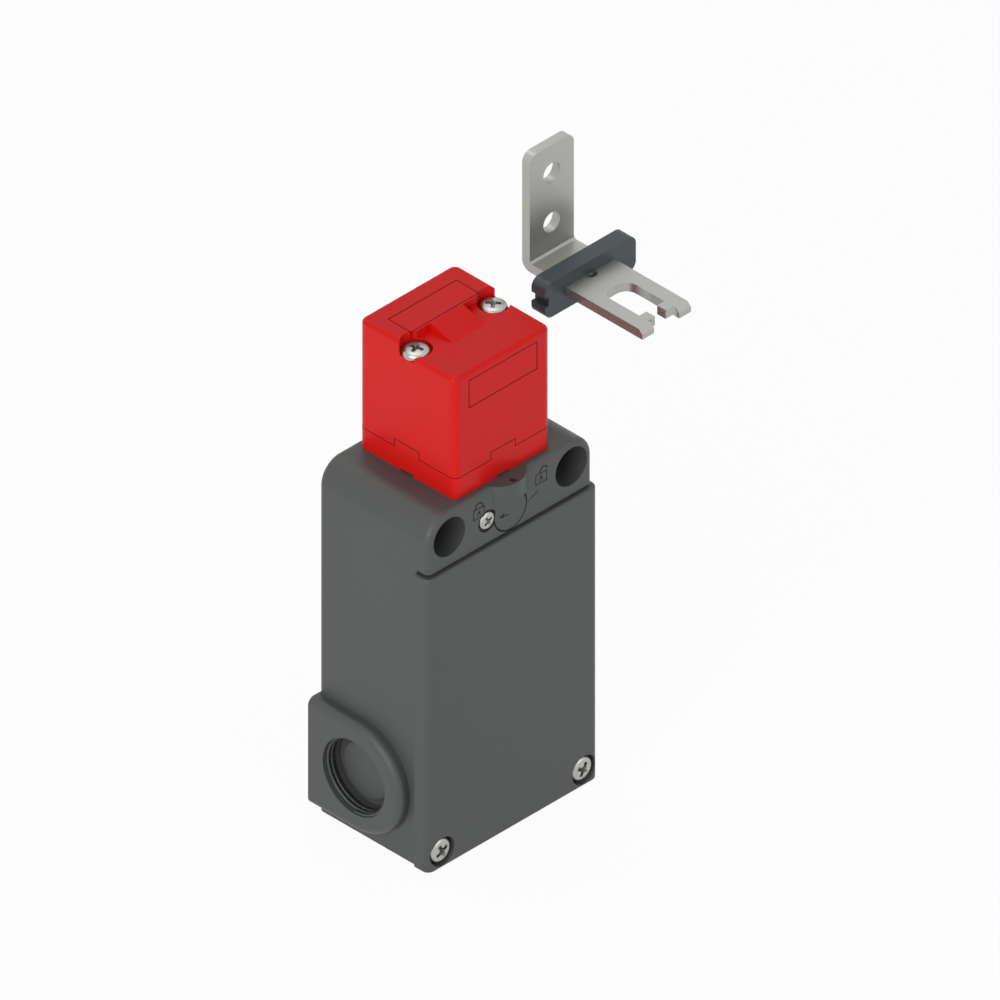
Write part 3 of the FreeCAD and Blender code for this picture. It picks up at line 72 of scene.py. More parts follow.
class Facing(Enum):
    """Directions that a screw head or a joint line can look."""

    FRONT = (0, -1, 0)
    UP = (0, 0, 1)

    @property
    def out(self) -> Vector:
        """The direction as a vector."""
        return Vector(self.value)

    @property
    def tilt(self) -> float:
        """Turn about X that makes an upright piece look this way."""
        return math.radians(90) if self is Facing.FRONT else 0.0


class Shackle(Enum):
    """States of a padlock's shackle."""

    CLOSED = "closed"
    OPEN = "open"


class Value:
    """A number socket in a node tree, on which sums add Math nodes."""

    def __init__(self, tree: bpy.types.NodeTree, socket: Any) -> None:
        """Keep the socket and the tree that it is in."""
        self.tree, self.socket = tree, socket

    def _sum(self, operation: str, first: Any, second: Any) -> "Value":
        """Add one Math node.

        Args:
            operation: The Math node's operation.
            first: Value or number for the first input.
            second: Value or number for the second input.

        Returns:
            The node's result.
        """
        node = self.tree.nodes.new("ShaderNodeMath")
        node.operation = operation
        for slot, item in zip(node.inputs, (first, second)):
            if isinstance(item, Value):
                self.tree.links.new(item.socket, slot)
            else:
                slot.default_value = item
        return Value(self.tree, node.outputs[0])

    def __add__(self, other: Any) -> "Value":
        """Sum."""
        return self._sum("ADD", self, other)

    def __radd__(self, other: Any) -> "Value":
        """Sum with a number on the left."""
        return self._sum("ADD", other, self)

    def __sub__(self, other: Any) -> "Value":
        """Difference."""
        return self._sum("SUBTRACT", self, other)

    def __rsub__(self, other: Any) -> "Value":
        """Difference from a number on the left."""
        return self._sum("SUBTRACT", other, self)

    def __mul__(self, other: Any) -> "Value":
        """Product."""
        return self._sum("MULTIPLY", self, other)

    def __rmul__(self, other: Any) -> "Value":
        """Product with a number on the left."""
        return self._sum("MULTIPLY", other, self)

    def most(self, other: Any) -> "Value":
        """The greater of the two."""
        return self._sum("MAXIMUM", self, other)


class NodeTree:
    """A node tree, with one way to add any node."""

    def __init__(self, tree: bpy.types.NodeTree) -> None:
        """Keep the tree."""
        self.tree = tree

    def node(self, kind: str, settings: dict[str, Any] | None = None,
             inputs: dict[Any, Any] | None = None) -> bpy.types.Node:
        """Add a node, set it up and connect it.

        Args:
            kind: The node's type.
            settings: Attributes that are set first, such as an operation.
            inputs: Values or links for its inputs, by name or number.

        Returns:
            The node.
        """
        made = self.tree.nodes.new(kind)
        for key, item in (settings or {}).items():
            setattr(made, key, item)
        for key, item in (inputs or {}).items():
            if isinstance(item, Value):
                self.tree.links.new(item.socket, made.inputs[key])
            elif isinstance(item, bpy.types.NodeSocket):
                self.tree.links.new(item, made.inputs[key])
            else:
                made.inputs[key].default_value = item
        return made


class ShaderTree(NodeTree):
    """The tree of a material or of the world."""

    MIX_FACTOR, MIX_LOW, MIX_HIGH, MIX_RESULT = 0, 6, 7, 2

    def __init__(self, owner: bpy.types.Material | bpy.types.World) -> None:
        """Start with the owner's tree emptied.

        Args:
            owner: The material or the world.
        """
        owner.use_nodes = True
        super().__init__(owner.node_tree)
        self.tree.nodes.clear()
        self.owner = owner

    def value(self, socket: bpy.types.NodeSocket) -> Value:
        """Wrap a number socket."""
        return Value(self.tree, socket)

    def noise(self, scale: float, detail: float,
              stretch: tuple[float, float, float] = (1, 1, 1)) -> Value:
        """Noise on Object coordinates.

        Args:
            scale: Cells per metre.
            detail: Octaves of finer noise.
            stretch: Scale along each axis, for a drawn look.

        Returns:
            The noise, about 0 to 1.
        """
        place = self.node("ShaderNodeTexCoord").outputs["Object"]
        mapped = self.node("ShaderNodeMapping", inputs={"Vector": place, "Scale": stretch})
        made = self.node("ShaderNodeTexNoise", inputs={
            "Vector": mapped.outputs[0], "Scale": scale, "Detail": detail})
        return self.value(made.outputs[0])

    def tone(self, factor: Value, low: Shade, high: Shade) -> bpy.types.NodeSocket:
        """Mix two colours.

        Args:
            factor: 0 for the first colour, 1 for the second.
            low: First colour.
            high: Second colour.

        Returns:
            The mixed colour's socket.
        """
        mixed = self.node("ShaderNodeMix", {"data_type": "RGBA"}, {
            self.MIX_FACTOR: factor, self.MIX_LOW: low, self.MIX_HIGH: high})
        return mixed.outputs[self.MIX_RESULT]

    def bump(self, height: Value, strength: float, distance: float) -> bpy.types.NodeSocket:
        """Turn heights into a normal.

        Args:
            height: The height.
            strength: How strongly it shows.
            distance: Its greatest height, in metres.

        Returns:
            The normal's socket.
        """
        made = self.node("ShaderNodeBump", inputs={
            "Strength": strength, "Distance": distance, "Height": height})
        return made.outputs[0]

    def finish(self, shader: bpy.types.Node) -> None:
        """Connect the shader to the owner's output."""
        world = isinstance(self.owner, bpy.types.World)
        self.node("ShaderNodeOutputWorld" if world else "ShaderNodeOutputMaterial",
                  inputs={"Surface": shader.outputs[0]})


def shade(colour: Colour, factor: float) -> Shade:
    """A colour made lighter or darker, with alpha."""
    return (*(min(1.0, part * factor) for part in colour), 1.0)


@dataclass(frozen=True)
class Moulded:
    """Moulded plastic: a fine spark-eroded grain, with slight changes in tone and gloss."""

    name: str
    colour: Colour
    roughness: float
    grain: float = 0.04
    spread: float = 0.06
    mirror: float = 0.4
    grain_scale: float = 5200.0
    grain_detail: float = 2.0
    grain_height: float = 0.0002
    grain_gloss: float = 0.06
    cloud_scale: float = 55.0
    cloud_detail: float = 3.0
    cloud_gloss: float = 0.08

    def material(self) -> bpy.types.Material:
        """Build the material.

        Returns:
            The material, with its tone, gloss and grain.
        """
        made = bpy.data.materials.new(self.name)
        tree = ShaderTree(made)
        cloud = tree.noise(self.cloud_scale, self.cloud_detail)
        fine = tree.noise(self.grain_scale, self.grain_detail)
        gloss = (self.roughness + (cloud - 0.5) * self.cloud_gloss
                 + (fine - 0.5) * self.grain_gloss)
        tree.finish(tree.node("ShaderNodeBsdfPrincipled", inputs={
            "Base Color": tree.tone(cloud, shade(self.colour, 1 - self.spread),
                                    shade(self.colour, 1 + self.spread)),
            "Roughness": gloss,
            "Normal": tree.bump(fine, self.grain, self.grain_height),
            "Specular IOR Level": self.mirror}))
        return made


@dataclass(frozen=True)
class Metal:
    """Metal with drawing lines along one direction, and a mottled gloss."""

    name: str
    colour: Colour
    roughness: float
    lines: tuple[float, float, float] = (1, 1, 1)
    metallic: float = 1.0
    line_strength: float = 0.05
    line_height: float = 0.0001
    line_scale: float = 2600.0
    line_dark: float = 0.88
    line_bright: float = 1.1
    cloud_scale: float = 90.0
    detail: float = 3.0
    gloss_change: float = 0.12

    def material(self) -> bpy.types.Material:
        """Build the material.

        Returns:
            The material, with its drawing lines.
        """
        made = bpy.data.materials.new(self.name)
        tree = ShaderTree(made)
        cloud = tree.noise(self.cloud_scale, self.detail)
        drawn = tree.noise(self.line_scale, self.detail, self.lines)
        gloss = (self.roughness + (cloud - 0.5) * self.gloss_change
                 + (drawn - 0.5) * self.gloss_change)
        tree.finish(tree.node("ShaderNodeBsdfPrincipled", inputs={
            "Base Color": tree.tone(drawn, shade(self.colour, self.line_dark),
                                    shade(self.colour, self.line_bright)),
            "Roughness": gloss,
            "Metallic": self.metallic,
            "Normal": tree.bump(drawn, self.line_strength, self.line_height)}))
        return made


FINISHES: dict[str, Moulded | Metal] = {
    "grey_plastic": Moulded("grey_moulding", (0.068, 0.072, 0.068), 0.46),
    "red_plastic": Moulded("red_moulding", (0.62, 0.008, 0.006), 0.34,
                           grain=0.02, spread=0.04, mirror=0.16),
    "seal_rubber": Moulded("seal_rubber", (0.02, 0.02, 0.02), 0.7),
    "brass_insert": Metal("brass", (0.55, 0.38, 0.15), 0.35),
    "zinc_steel": Metal("zinc_plated_steel", (0.43, 0.43, 0.41), 0.34),
    "spring_steel": Metal("spring_wire", (0.4, 0.4, 0.4), 0.3),
    "zinc_casting": Metal("zinc_casting", (0.36, 0.36, 0.36), 0.45),
    "white_plastic": Moulded("natural_moulding", (0.66, 0.64, 0.58), 0.45),
    "black_plastic": Moulded("black_moulding", (0.022, 0.022, 0.025), 0.42),
    "coil_tape": Moulded("winding_tape", (0.52, 0.25, 0.035), 0.4, grain=0.12),
    "contact_metal": Metal("contact_strip", (0.6, 0.45, 0.24), 0.3),
    "stainless_plate": Metal("rolled_plate", (0.42, 0.42, 0.395), 0.4,
                             lines=(1, 1, 14), metallic=0.85),
    "collar_plastic": Moulded("collar_moulding", (0.042, 0.054, 0.06), 0.4),
    # Near black: painted shade for the sunk lines of the front signs, not the moulding's own colour.
    "sign_ink": Moulded("sunk_line", (0.012, 0.012, 0.012), 0.6),
    "red_joint": Moulded("red_joint_line", (0.13, 0.003, 0.003), 0.6, mirror=0.1),
}


class Palette:
    """Makes each finish once and hands it out by slot name."""

    def __init__(self) -> None:
        """Start empty."""
        self._made: dict[str, bpy.types.Material] = {}

    def get(self, slot: str) -> bpy.types.Material:
        """Hand out a finish.

        Args:
            slot: The finish's key in FINISHES.

        Returns:
            Its material, made when it is first asked for.
        """
        if slot not in self._made:
            self._made[slot] = FINISHES[slot].material()
        return self._made[slot]


def put_in_scene(name: str, data: Any) -> bpy.types.Object:
    """Make an object and link it.

    Args:
        name: The object's name.
        data: Its mesh, light or camera.

    Returns:
        The object.
    """
    made = bpy.data.objects.new(name, data)
    bpy.context.scene.collection.objects.link(made)
    return made


def closed_mesh(made: bmesh.types.BMesh, name: str) -> bpy.types.Mesh:
    """Write a bmesh to a new mesh and free it.

    Args:
        made: The bmesh.
        name: The mesh's name.

    Returns:
        The mesh.
    """
    mesh = bpy.data.meshes.new(name)
    made.to_mesh(mesh)
    made.free()
    return mesh


def new_piece(name: str, mesh: bpy.types.Mesh, material: bpy.types.Material,
              body: str) -> bpy.types.Object:
    """Link a mesh as a piece at the origin and let it ride on a body.

    Args:
        name: The piece's name.
        mesh: Its mesh, in place in the shared frame.
        material: Its only material.
        body: The CAD body that it rides on.

    Returns:
        The object.
    """
    mesh.materials.clear()
    mesh.materials.append(material)
    piece = put_in_scene(name, mesh)
    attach(piece, body)
    return piece


def smooth_by_angle(mesh: bpy.types.Mesh, angle: float) -> None:
    """Shade a mesh smooth, with sharp edges where faces meet at more than an angle."""
    mesh.shade_smooth()
    mesh.set_sharp_from_angle(angle=math.radians(angle))


def turned_mesh(name: str, profile: Sequence[tuple[float, float]], segments: int) -> bpy.types.Mesh:
    """Closed solid of revolution about Z.

    Args:
        name: The mesh's name.
        profile: Points of radius and height, the first and last on the axis.
        segments: Steps round the axis.

    Returns:
        The mesh.
    """
    made = bmesh.new()
    rows: list[list[bmesh.types.BMVert]] = []
    for radius, height in profile:
        if radius < ON_AXIS:
            rows.append([made.verts.new((0, 0, height))])
            continue
        ring = []
        for i in range(segments):
            turn = 2 * math.pi * i / segments
            place = (radius * math.cos(turn), radius * math.sin(turn), height)
            ring.append(made.verts.new(place))
        rows.append(ring)
    for low, high in zip(rows, rows[1:]):
        for i in range(segments):
            j = (i + 1) % segments
            corners = [low[i % len(low)], low[j % len(low)], high[j % len(high)], high[i % len(high)]]
            distinct = list(dict.fromkeys(corners))
            if len(distinct) > 2:
                made.faces.new(distinct)
    bmesh.ops.recalc_face_normals(made, faces=made.faces)
    return closed_mesh(made, name)


def evaluated(carrier: bpy.types.Object, name: str) -> bpy.types.Mesh:
    """The plain mesh that an object's modifiers give, after which the object is removed.

    Args:
        carrier: Object with live modifiers.
        name: The new mesh's name.

    Returns:
        The mesh.
    """
    bpy.context.view_layer.update()
    graph = bpy.context.evaluated_depsgraph_get()
    mesh = bpy.data.meshes.new_from_object(carrier.evaluated_get(graph))
    mesh.name = name
    bpy.data.objects.remove(carrier)
    return mesh


class NodeShape(NodeTree):
    """A Geometry Nodes tree with named inputs, used once to make a plain mesh."""

    def __init__(self, name: str) -> None:
        """Make the tree with a geometry input and output.

        Args:
            name: The tree's name.
        """
        super().__init__(bpy.data.node_groups.new(name, "GeometryNodeTree"))
        for side in ("INPUT", "OUTPUT"):
            self.tree.interface.new_socket("Geometry", in_out=side,
                                           socket_type="NodeSocketGeometry")
        self.start = self.node("NodeGroupInput")
        self.end = self.node("NodeGroupOutput")
        self.settings: dict[str, Any] = {}

    def size(self, name: str, kind: str, value: Any) -> bpy.types.NodeSocket:
        """Add a named input.

        Args:
            name: The input's name.
            kind: Its socket type, such as Float, Int, Object or Material.
            value: What the modifier sets it to.

        Returns:
            The input's socket inside the tree.
        """
        made = self.tree.interface.new_socket(name, in_out="INPUT",
                                              socket_type=f"NodeSocket{kind}")
        self.settings[made.identifier] = value
        return self.start.outputs[name]

    def mesh(self, name: str, geometry: bpy.types.NodeSocket, material: bpy.types.Material,
             base: bpy.types.Mesh | None = None) -> bpy.types.Mesh:
        """Realise the instances, set the material and evaluate the tree.

        Args:
            name: The mesh's name.
            geometry: The tree's result.
            material: The material that it sets.
            base: Mesh that the tree starts from.

        Returns:
            The plain mesh.
        """
        paint = self.size("Finish", "Material", material)
        real = self.node("GeometryNodeRealizeInstances", inputs={0: geometry})
        painted = self.node("GeometryNodeSetMaterial", inputs={
            "Geometry": real.outputs[0], "Material": paint})
        self.tree.links.new(painted.outputs[0], self.end.inputs[0])
        carrier = put_in_scene(name, base or bpy.data.meshes.new(name))
        modifier = carrier.modifiers.new("shape", "NODES")
        modifier.node_group = self.tree
        for identifier, value in self.settings.items():
            modifier[identifier] = value
        return evaluated(carrier, name)


@dataclass(frozen=True)
class Shank:
    """Threaded shank under a screw's head, in millimetres and in shares of its root's radius."""

    tip_share: float = 0.7
    crest_share: float = 1.13
    plain_tip: float = 0.3
    plain_ends: float = 0.4
    neck: float = 0.05

    def outline(self, root_radius: float, length: float, pitch: float) -> list[tuple[float, float]]:
        """Points from the tip on the axis up to the head.

        Args:
            root_radius: Radius in the thread's root.
            length: Length below the head.
            pitch: Thread's pitch.

        Returns:
            Points of radius and height.
        """
        points = [(0.0, -length), (root_radius * self.tip_share, -length)]
        for i in range(int((length - self.plain_ends) / pitch)):
            low = -length + self.plain_tip + i * pitch
            points += [(root_radius, low), (root_radius * self.crest_share, low + pitch / 2)]
        return points + [(root_radius, -self.neck), (root_radius, 0.0)]


@dataclass(frozen=True)
class PanHead:
    """Domed head of a screw, in shares of its radius and rise."""

    under: float = 0.97
    rim_low: float = 0.08
    rim_high: float = 0.4
    dome_start: float = 0.62
    dome_rise: float = 0.5
    dome_steps: int = 7
    crown: tuple[tuple[float, float], ...] = ((0.45, 0.95), (0.2, 0.995), (0.0, 1.0))

    def outline(self, radius: float, rise: float) -> list[tuple[float, float]]:
        """Points from the head's underside to its crown.

        Args:
            radius: Head's radius.
            rise: Head's height.

        Returns:
            Points of radius and height, the last on the axis.
        """
        shares = [(self.under, 0.0), (1.0, self.rim_low), (1.0, self.rim_high)]
        for i in range(1, self.dome_steps):
            turn = math.pi / 2 * i / self.dome_steps
            shares.append((self.dome_start + (1 - self.dome_start) * math.cos(turn),
                           self.rim_high + self.dome_rise * math.sin(turn)))
        return [(radius * across, rise * up) for across, up in (*shares, *self.crown)]


@dataclass(frozen=True)
class CrossRecess:
    """Tapered cross in a screw's head, in shares of the head's radius and rise."""

    reach: float = 0.6
    half_width: float = 0.14
    depth: float = 0.8
    foot_reach: float = 0.7
    foot_width: float = 0.85
    mouth_width: float = 1.1
    above: float = 1.1
    core_foot: float = 1.1
    core_mouth: float = 0.3
    core_depth: float = 1.2
    core_top: float = 1.02
    core_segments: int = 16

    def cutter(self, radius: float, rise: float) -> bpy.types.Object:
        """Make the solid that is cut out of the head.

        Args:
            radius: Head's radius.
            rise: Head's height.

        Returns:
            The cutter, on the head's axis.
        """
        reach, half_width, depth = radius * self.reach, radius * self.half_width, rise * self.depth
        made = bmesh.new()
        for turn in (0.0, math.pi / 2):
            arm = bmesh.ops.create_cube(made, size=1.0)["verts"]
            for corner in arm:
                deep = corner.co.z < 0
                corner.co.x *= 2 * reach * (self.foot_reach if deep else 1.0)
                corner.co.y *= 2 * half_width * (self.foot_width if deep else self.mouth_width)
                corner.co.z = rise - depth if deep else rise * self.above
            bmesh.ops.rotate(made, verts=arm, matrix=Matrix.Rotation(turn, 3, "Z"))
        tall = depth * self.core_depth
        core = bmesh.ops.create_cone(
            made, cap_ends=True, segments=self.core_segments, radius1=half_width * self.core_foot,
            radius2=radius * self.core_mouth, depth=tall)["verts"]
        bmesh.ops.translate(made, verts=core, vec=(0, 0, rise * self.core_top - tall / 2))
        return put_in_scene("recess", closed_mesh(made, "recess"))


@dataclass
class PanScrews:
    """Identical cross-recessed pan head screws on one body."""

    name: str
    node: str
    body: str
    facing: Facing
    head_radius: float
    rise: float
    root_radius: float
    twists: Sequence[float]
    pitch: float = 0.7
    segments: int = 64
    shank: Shank = Shank()
    head: PanHead = PanHead()
    recess: CrossRecess = CrossRecess()

    def model(self, length: float) -> bpy.types.Object:
        """Make one screw on the origin, its head up, in metres.

        Args:
            length: Shank's length below the head, in millimetres.

        Returns:
            The screw, which the instances are made from.
        """
        profile = self.shank.outline(self.root_radius, length, self.pitch)
        profile += self.head.outline(self.head_radius, self.rise)
        carrier = put_in_scene(self.name, turned_mesh(self.name, profile, self.segments))
        cutter = self.recess.cutter(self.head_radius, self.rise)
        cut = carrier.modifiers.new("recess", "BOOLEAN")
        cut.operation, cut.object = "DIFFERENCE", cutter
        cut.solver, cut.use_self = "EXACT", True
        mesh = evaluated(carrier, self.name + "_model")
        bpy.data.objects.remove(cutter)
        mesh.transform(Matrix.Scale(MM, 4))
        smooth_by_angle(mesh, HEAD_SHARP)
        return put_in_scene(self.name + "_model", mesh)

    def seats(self, low: Vector, high: Vector) -> bpy.types.Mesh:
        """Make a point under each head, with the turn of its cross.

        Args:
            low: Lower corner of the CAD screws' box.
            high: Upper corner of the CAD screws' box.

        Returns:
            A mesh of points with the attribute twist, in radians.
        """
        out = self.facing.out
        middle = (low + high) / 2
        middle += out * (abs((high - low).dot(out)) / 2 - self.rise * MM)
        spread = (high.x - low.x) / 2 - self.head_radius * MM
        hands = (-1, 1) if len(self.twists) > 1 else (0,)
        points = bpy.data.meshes.new(self.name)
        points.from_pydata([middle + Vector((hand * spread, 0, 0)) for hand in hands], [], [])
        twist = points.attributes.new("twist", "FLOAT", "POINT")
        for item, angle in zip(twist.data, self.twists):
            item.value = math.radians(angle)
        return points

    def build(self, palette: Palette) -> bpy.types.Object:
        """Place the screws where the CAD ones are and stand for them.

        Args:
            palette: Finishes.

        Returns:
            The piece.
        """
        low, high = (Vector(c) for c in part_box(self.node))
        length = abs((high - low).dot(self.facing.out)) / MM - self.rise
        model = self.model(length)
        shape = NodeShape(self.name)
        screw = shape.size("Screw", "Object", model)
        tilt = shape.size("Tilt", "Float", self.facing.tilt)
        info = shape.node("GeometryNodeObjectInfo", inputs={"Object": screw})
        angle = shape.node("GeometryNodeInputNamedAttribute", {"data_type": "FLOAT"},
                           {"Name": "twist"})
        turns = []
        for axis, amount in (("X", tilt), ("Z", angle.outputs[0])):
            euler = shape.node("ShaderNodeCombineXYZ", inputs={axis: amount})
            turns.append(shape.node("FunctionNodeEulerToRotation", inputs={0: euler.outputs[0]}))
        turn = shape.node("FunctionNodeRotateRotation", {"rotation_space": "LOCAL"},
                          {i: made.outputs[0] for i, made in enumerate(turns)})
        placed = shape.node("GeometryNodeInstanceOnPoints", inputs={
            "Points": shape.start.outputs["Geometry"], "Instance": info.outputs["Geometry"],
            "Rotation": turn.outputs[0]})
        metal = palette.get("zinc_steel")
        mesh = shape.mesh(self.name, placed.outputs[0], metal, self.seats(low, high))
        bpy.data.objects.remove(model)
        piece = new_piece(self.name, mesh, metal, self.body)
        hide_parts(self.node)
        return piece


@dataclass
class CableEntry:
    """The thread in one cable entry."""

    name: str
    mouth: Vector
    out: Vector
    bore_radius: float
    depth: float
    thread_pitch: float = 1.15
    crest: float = 0.62
    sunk_share: float = 0.35
    lead_in: float = 0.62
    steps_a_turn: int = 56
    ridge_corners: int = 3

    @classmethod
    def from_mount(cls, mount: dict[str, Any]) -> "CableEntry":
        """Take place, direction and size from the record's mount.

        Args:
            mount: One of the record's threaded holes.

        Returns:
            The entry.
        """
        return cls(mount["name"].replace("entry", "thread"), Vector(mount["pos_m"]),
                   Vector(mount["axis"]), mount["dims"]["r_mm"], mount["dims"]["length_mm"])

    def build(self, palette: Palette) -> bpy.types.Object:
        """Wind a triangular ridge down the bore.

        Args:
            palette: Finishes.

        Returns:
            The piece.
        """
        shape = NodeShape(self.name)
        turns = (self.depth - 2 * self.lead_in) / self.thread_pitch
        ridge_radius = (self.bore_radius - self.crest * self.sunk_share) * MM
        steps = shape.size("Steps", "Int", self.steps_a_turn)
        wind = shape.size("Turns", "Float", turns)
        radius = shape.size("Radius", "Float", ridge_radius)
        drop = shape.size("Depth", "Float", turns * self.thread_pitch * MM)
        ridge = shape.size("Ridge", "Float", self.crest * MM)
        path = shape.node("GeometryNodeCurveSpiral", inputs={
            "Resolution": steps, "Rotations": wind, "Start Radius": radius, "End Radius": radius,
            "Height": drop})
        section = shape.node("GeometryNodeCurvePrimitiveCircle", {"mode": "RADIUS"}, {
            "Resolution": self.ridge_corners, "Radius": ridge})
        turn = shape.node("GeometryNodeTransform", inputs={
            "Geometry": section.outputs[0], "Rotation": (0.0, 0.0, math.radians(180))})
        swept = shape.node("GeometryNodeCurveToMesh", inputs={
            "Curve": path.outputs[0], "Profile Curve": turn.outputs[0], "Fill Caps": True})
        plastic = palette.get("grey_plastic")
        mesh = shape.mesh(self.name, swept.outputs[0], plastic)
        aim = Vector((0, 0, 1)).rotation_difference(-self.out).to_matrix().to_4x4()
        mesh.transform(Matrix.Translation(self.mouth - self.out * self.lead_in * MM) @ aim)
        return new_piece(self.name, mesh, plastic, "frame")


@dataclass(frozen=True)
class Band:
    """Fine flat band that lies on a surface, in millimetres."""

    width: float
    lift: float = 0.03
    sink: float = 0.02
    run_on: float = 0.4

    def mesh(self, name: str, paths: Iterable[Path]) -> bpy.types.Mesh:
        """Lay the band along lines.

        Args:
            name: The mesh's name.
            paths: Lines of points, each with the surface's outward normal, in millimetres.

        Returns:
            The mesh, in metres.
        """
        made = bmesh.new()
        for path in paths:
            for (start, out), (end, far_out) in zip(path, path[1:]):
                along = (end - start).normalized()
                side = along.cross((out + far_out).normalized()) * self.width / 2
                run = along * self.width * self.run_on
                a, b = start + out * self.lift - run, end + far_out * self.lift + run
                near = [made.verts.new(p) for p in (a - side, a + side, b + side, b - side)]
                deep = [made.verts.new(v.co - root * (self.lift + self.sink))
                        for v, root in zip(near, (out, out, far_out, far_out))]
                made.faces.new(near)
                made.faces.new(deep[::-1])
                for i in range(4):
                    j = (i + 1) % 4
                    made.faces.new((near[i], deep[i], deep[j], near[j]))
        bmesh.ops.recalc_face_normals(made, faces=made.faces)
        mesh = closed_mesh(made, name)
        mesh.transform(Matrix.Scale(MM, 4))
        return mesh


@dataclass
class FrontSigns:
    """Fine sunk lines on the front, drawn near black as painted shade in the grooves: two padlocks, a
    marker, and the arrow on the dial.

    All places are X and Z in millimetres from the dial's middle.
    """

    line: Band = Band(0.29)
    locks: tuple[tuple[float, float, Shackle], ...] = (
        (-10.3, 4.3, Shackle.CLOSED), (10.1, 4.2, Shackle.OPEN))
    half_width: float = 1.75
    half_height: float = 1.35
    bow_radius: float = 1.15
    bow_leg: float = 0.5
    bow_squash: float = 0.9
    bow_swing: float = 0.85
    bow_steps: int = 8
    key_hole: tuple[tuple[float, float], ...] = (
        (-0.45, -0.65), (-0.25, 0.1), (0.0, 0.45), (0.25, 0.1), (0.45, -0.65))
    marker: tuple[tuple[float, float], ...] = ((6.1, -0.3), (9.3, 1.06))
    arrow: tuple[tuple[tuple[float, float], ...], ...] = (
        ((-0.6, -0.9), (-3.2, -0.38)), ((-2.3, -1.0), (-3.3, -0.36)),
        ((-2.1, 0.15), (-3.3, -0.36)), ((-2.3, -0.75), (-2.3, -0.1)))

    def padlock(self, x: float, z: float, shackle: Shackle) -> list[Stroke]:
        """Outline of a padlock's body, shackle and key hole.

        Args:
            x: Middle of its body.
            z: Middle of its body.
            shackle: Whether the shackle is down in the body.

        Returns:
            Strokes of points.
        """
        wide, tall, bow = self.half_width, self.half_height, self.bow_radius
        body = [(x - wide, z - tall), (x + wide, z - tall), (x + wide, z + tall),
                (x - wide, z + tall), (x - wide, z - tall)]
        shift = self.bow_swing if shackle is Shackle.OPEN else 0.0
        foot = z + tall
        arch = [(x - bow + shift, foot), (x - bow + shift, foot + self.bow_leg)]
        for i in range(1, self.bow_steps):
            turn = math.pi * i / self.bow_steps
            arch.append((x - bow * math.cos(turn) + shift,
                         foot + self.bow_leg + bow * math.sin(turn) * self.bow_squash))
        arch.append((x + bow + shift, foot + self.bow_leg))
        if shackle is Shackle.CLOSED:
            arch.append((x + bow, foot))
        return [body, arch, [(x + u, z + v) for u, v in self.key_hole]]

    def draw(self, name: str, strokes: Iterable[Sequence[tuple[float, float]]], body: str,
             palette: Palette) -> bpy.types.Object:
        """Lay strokes on the front as near-black lines of painted shade.

        Args:
            name: The piece's name.
            strokes: Lines of points.
            body: The body that it rides on.
            palette: Finishes.

        Returns:
            The piece.
        """
        low, high = (Vector(c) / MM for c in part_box("release_dial"))
        middle = Vector(((low.x + high.x) / 2, low.y, (low.z + high.z) / 2))
        out = Facing.FRONT.out
        paths = [[(middle + Vector((x, 0, z)), out) for x, z in stroke] for stroke in strokes]
        # The signs' near-black finish is painted shade in their sunk lines.
        return new_piece(name, self.line.mesh(name, paths), palette.get("sign_ink"), body)

    def build(self, palette: Palette) -> list[bpy.types.Object]:
        """Draw all signs.

        Args:
            palette: Finishes.

        Returns:
            The pieces.
        """
        made = [self.draw(f"padlock_{shackle.value}", self.padlock(x, z, shackle), "frame", palette)
                for x, z, shackle in self.locks]
        made.append(self.draw("dial_marker", [self.marker], "frame", palette))
        made.append(self.draw("dial_arrow", self.arrow, "dial", palette))
        return made


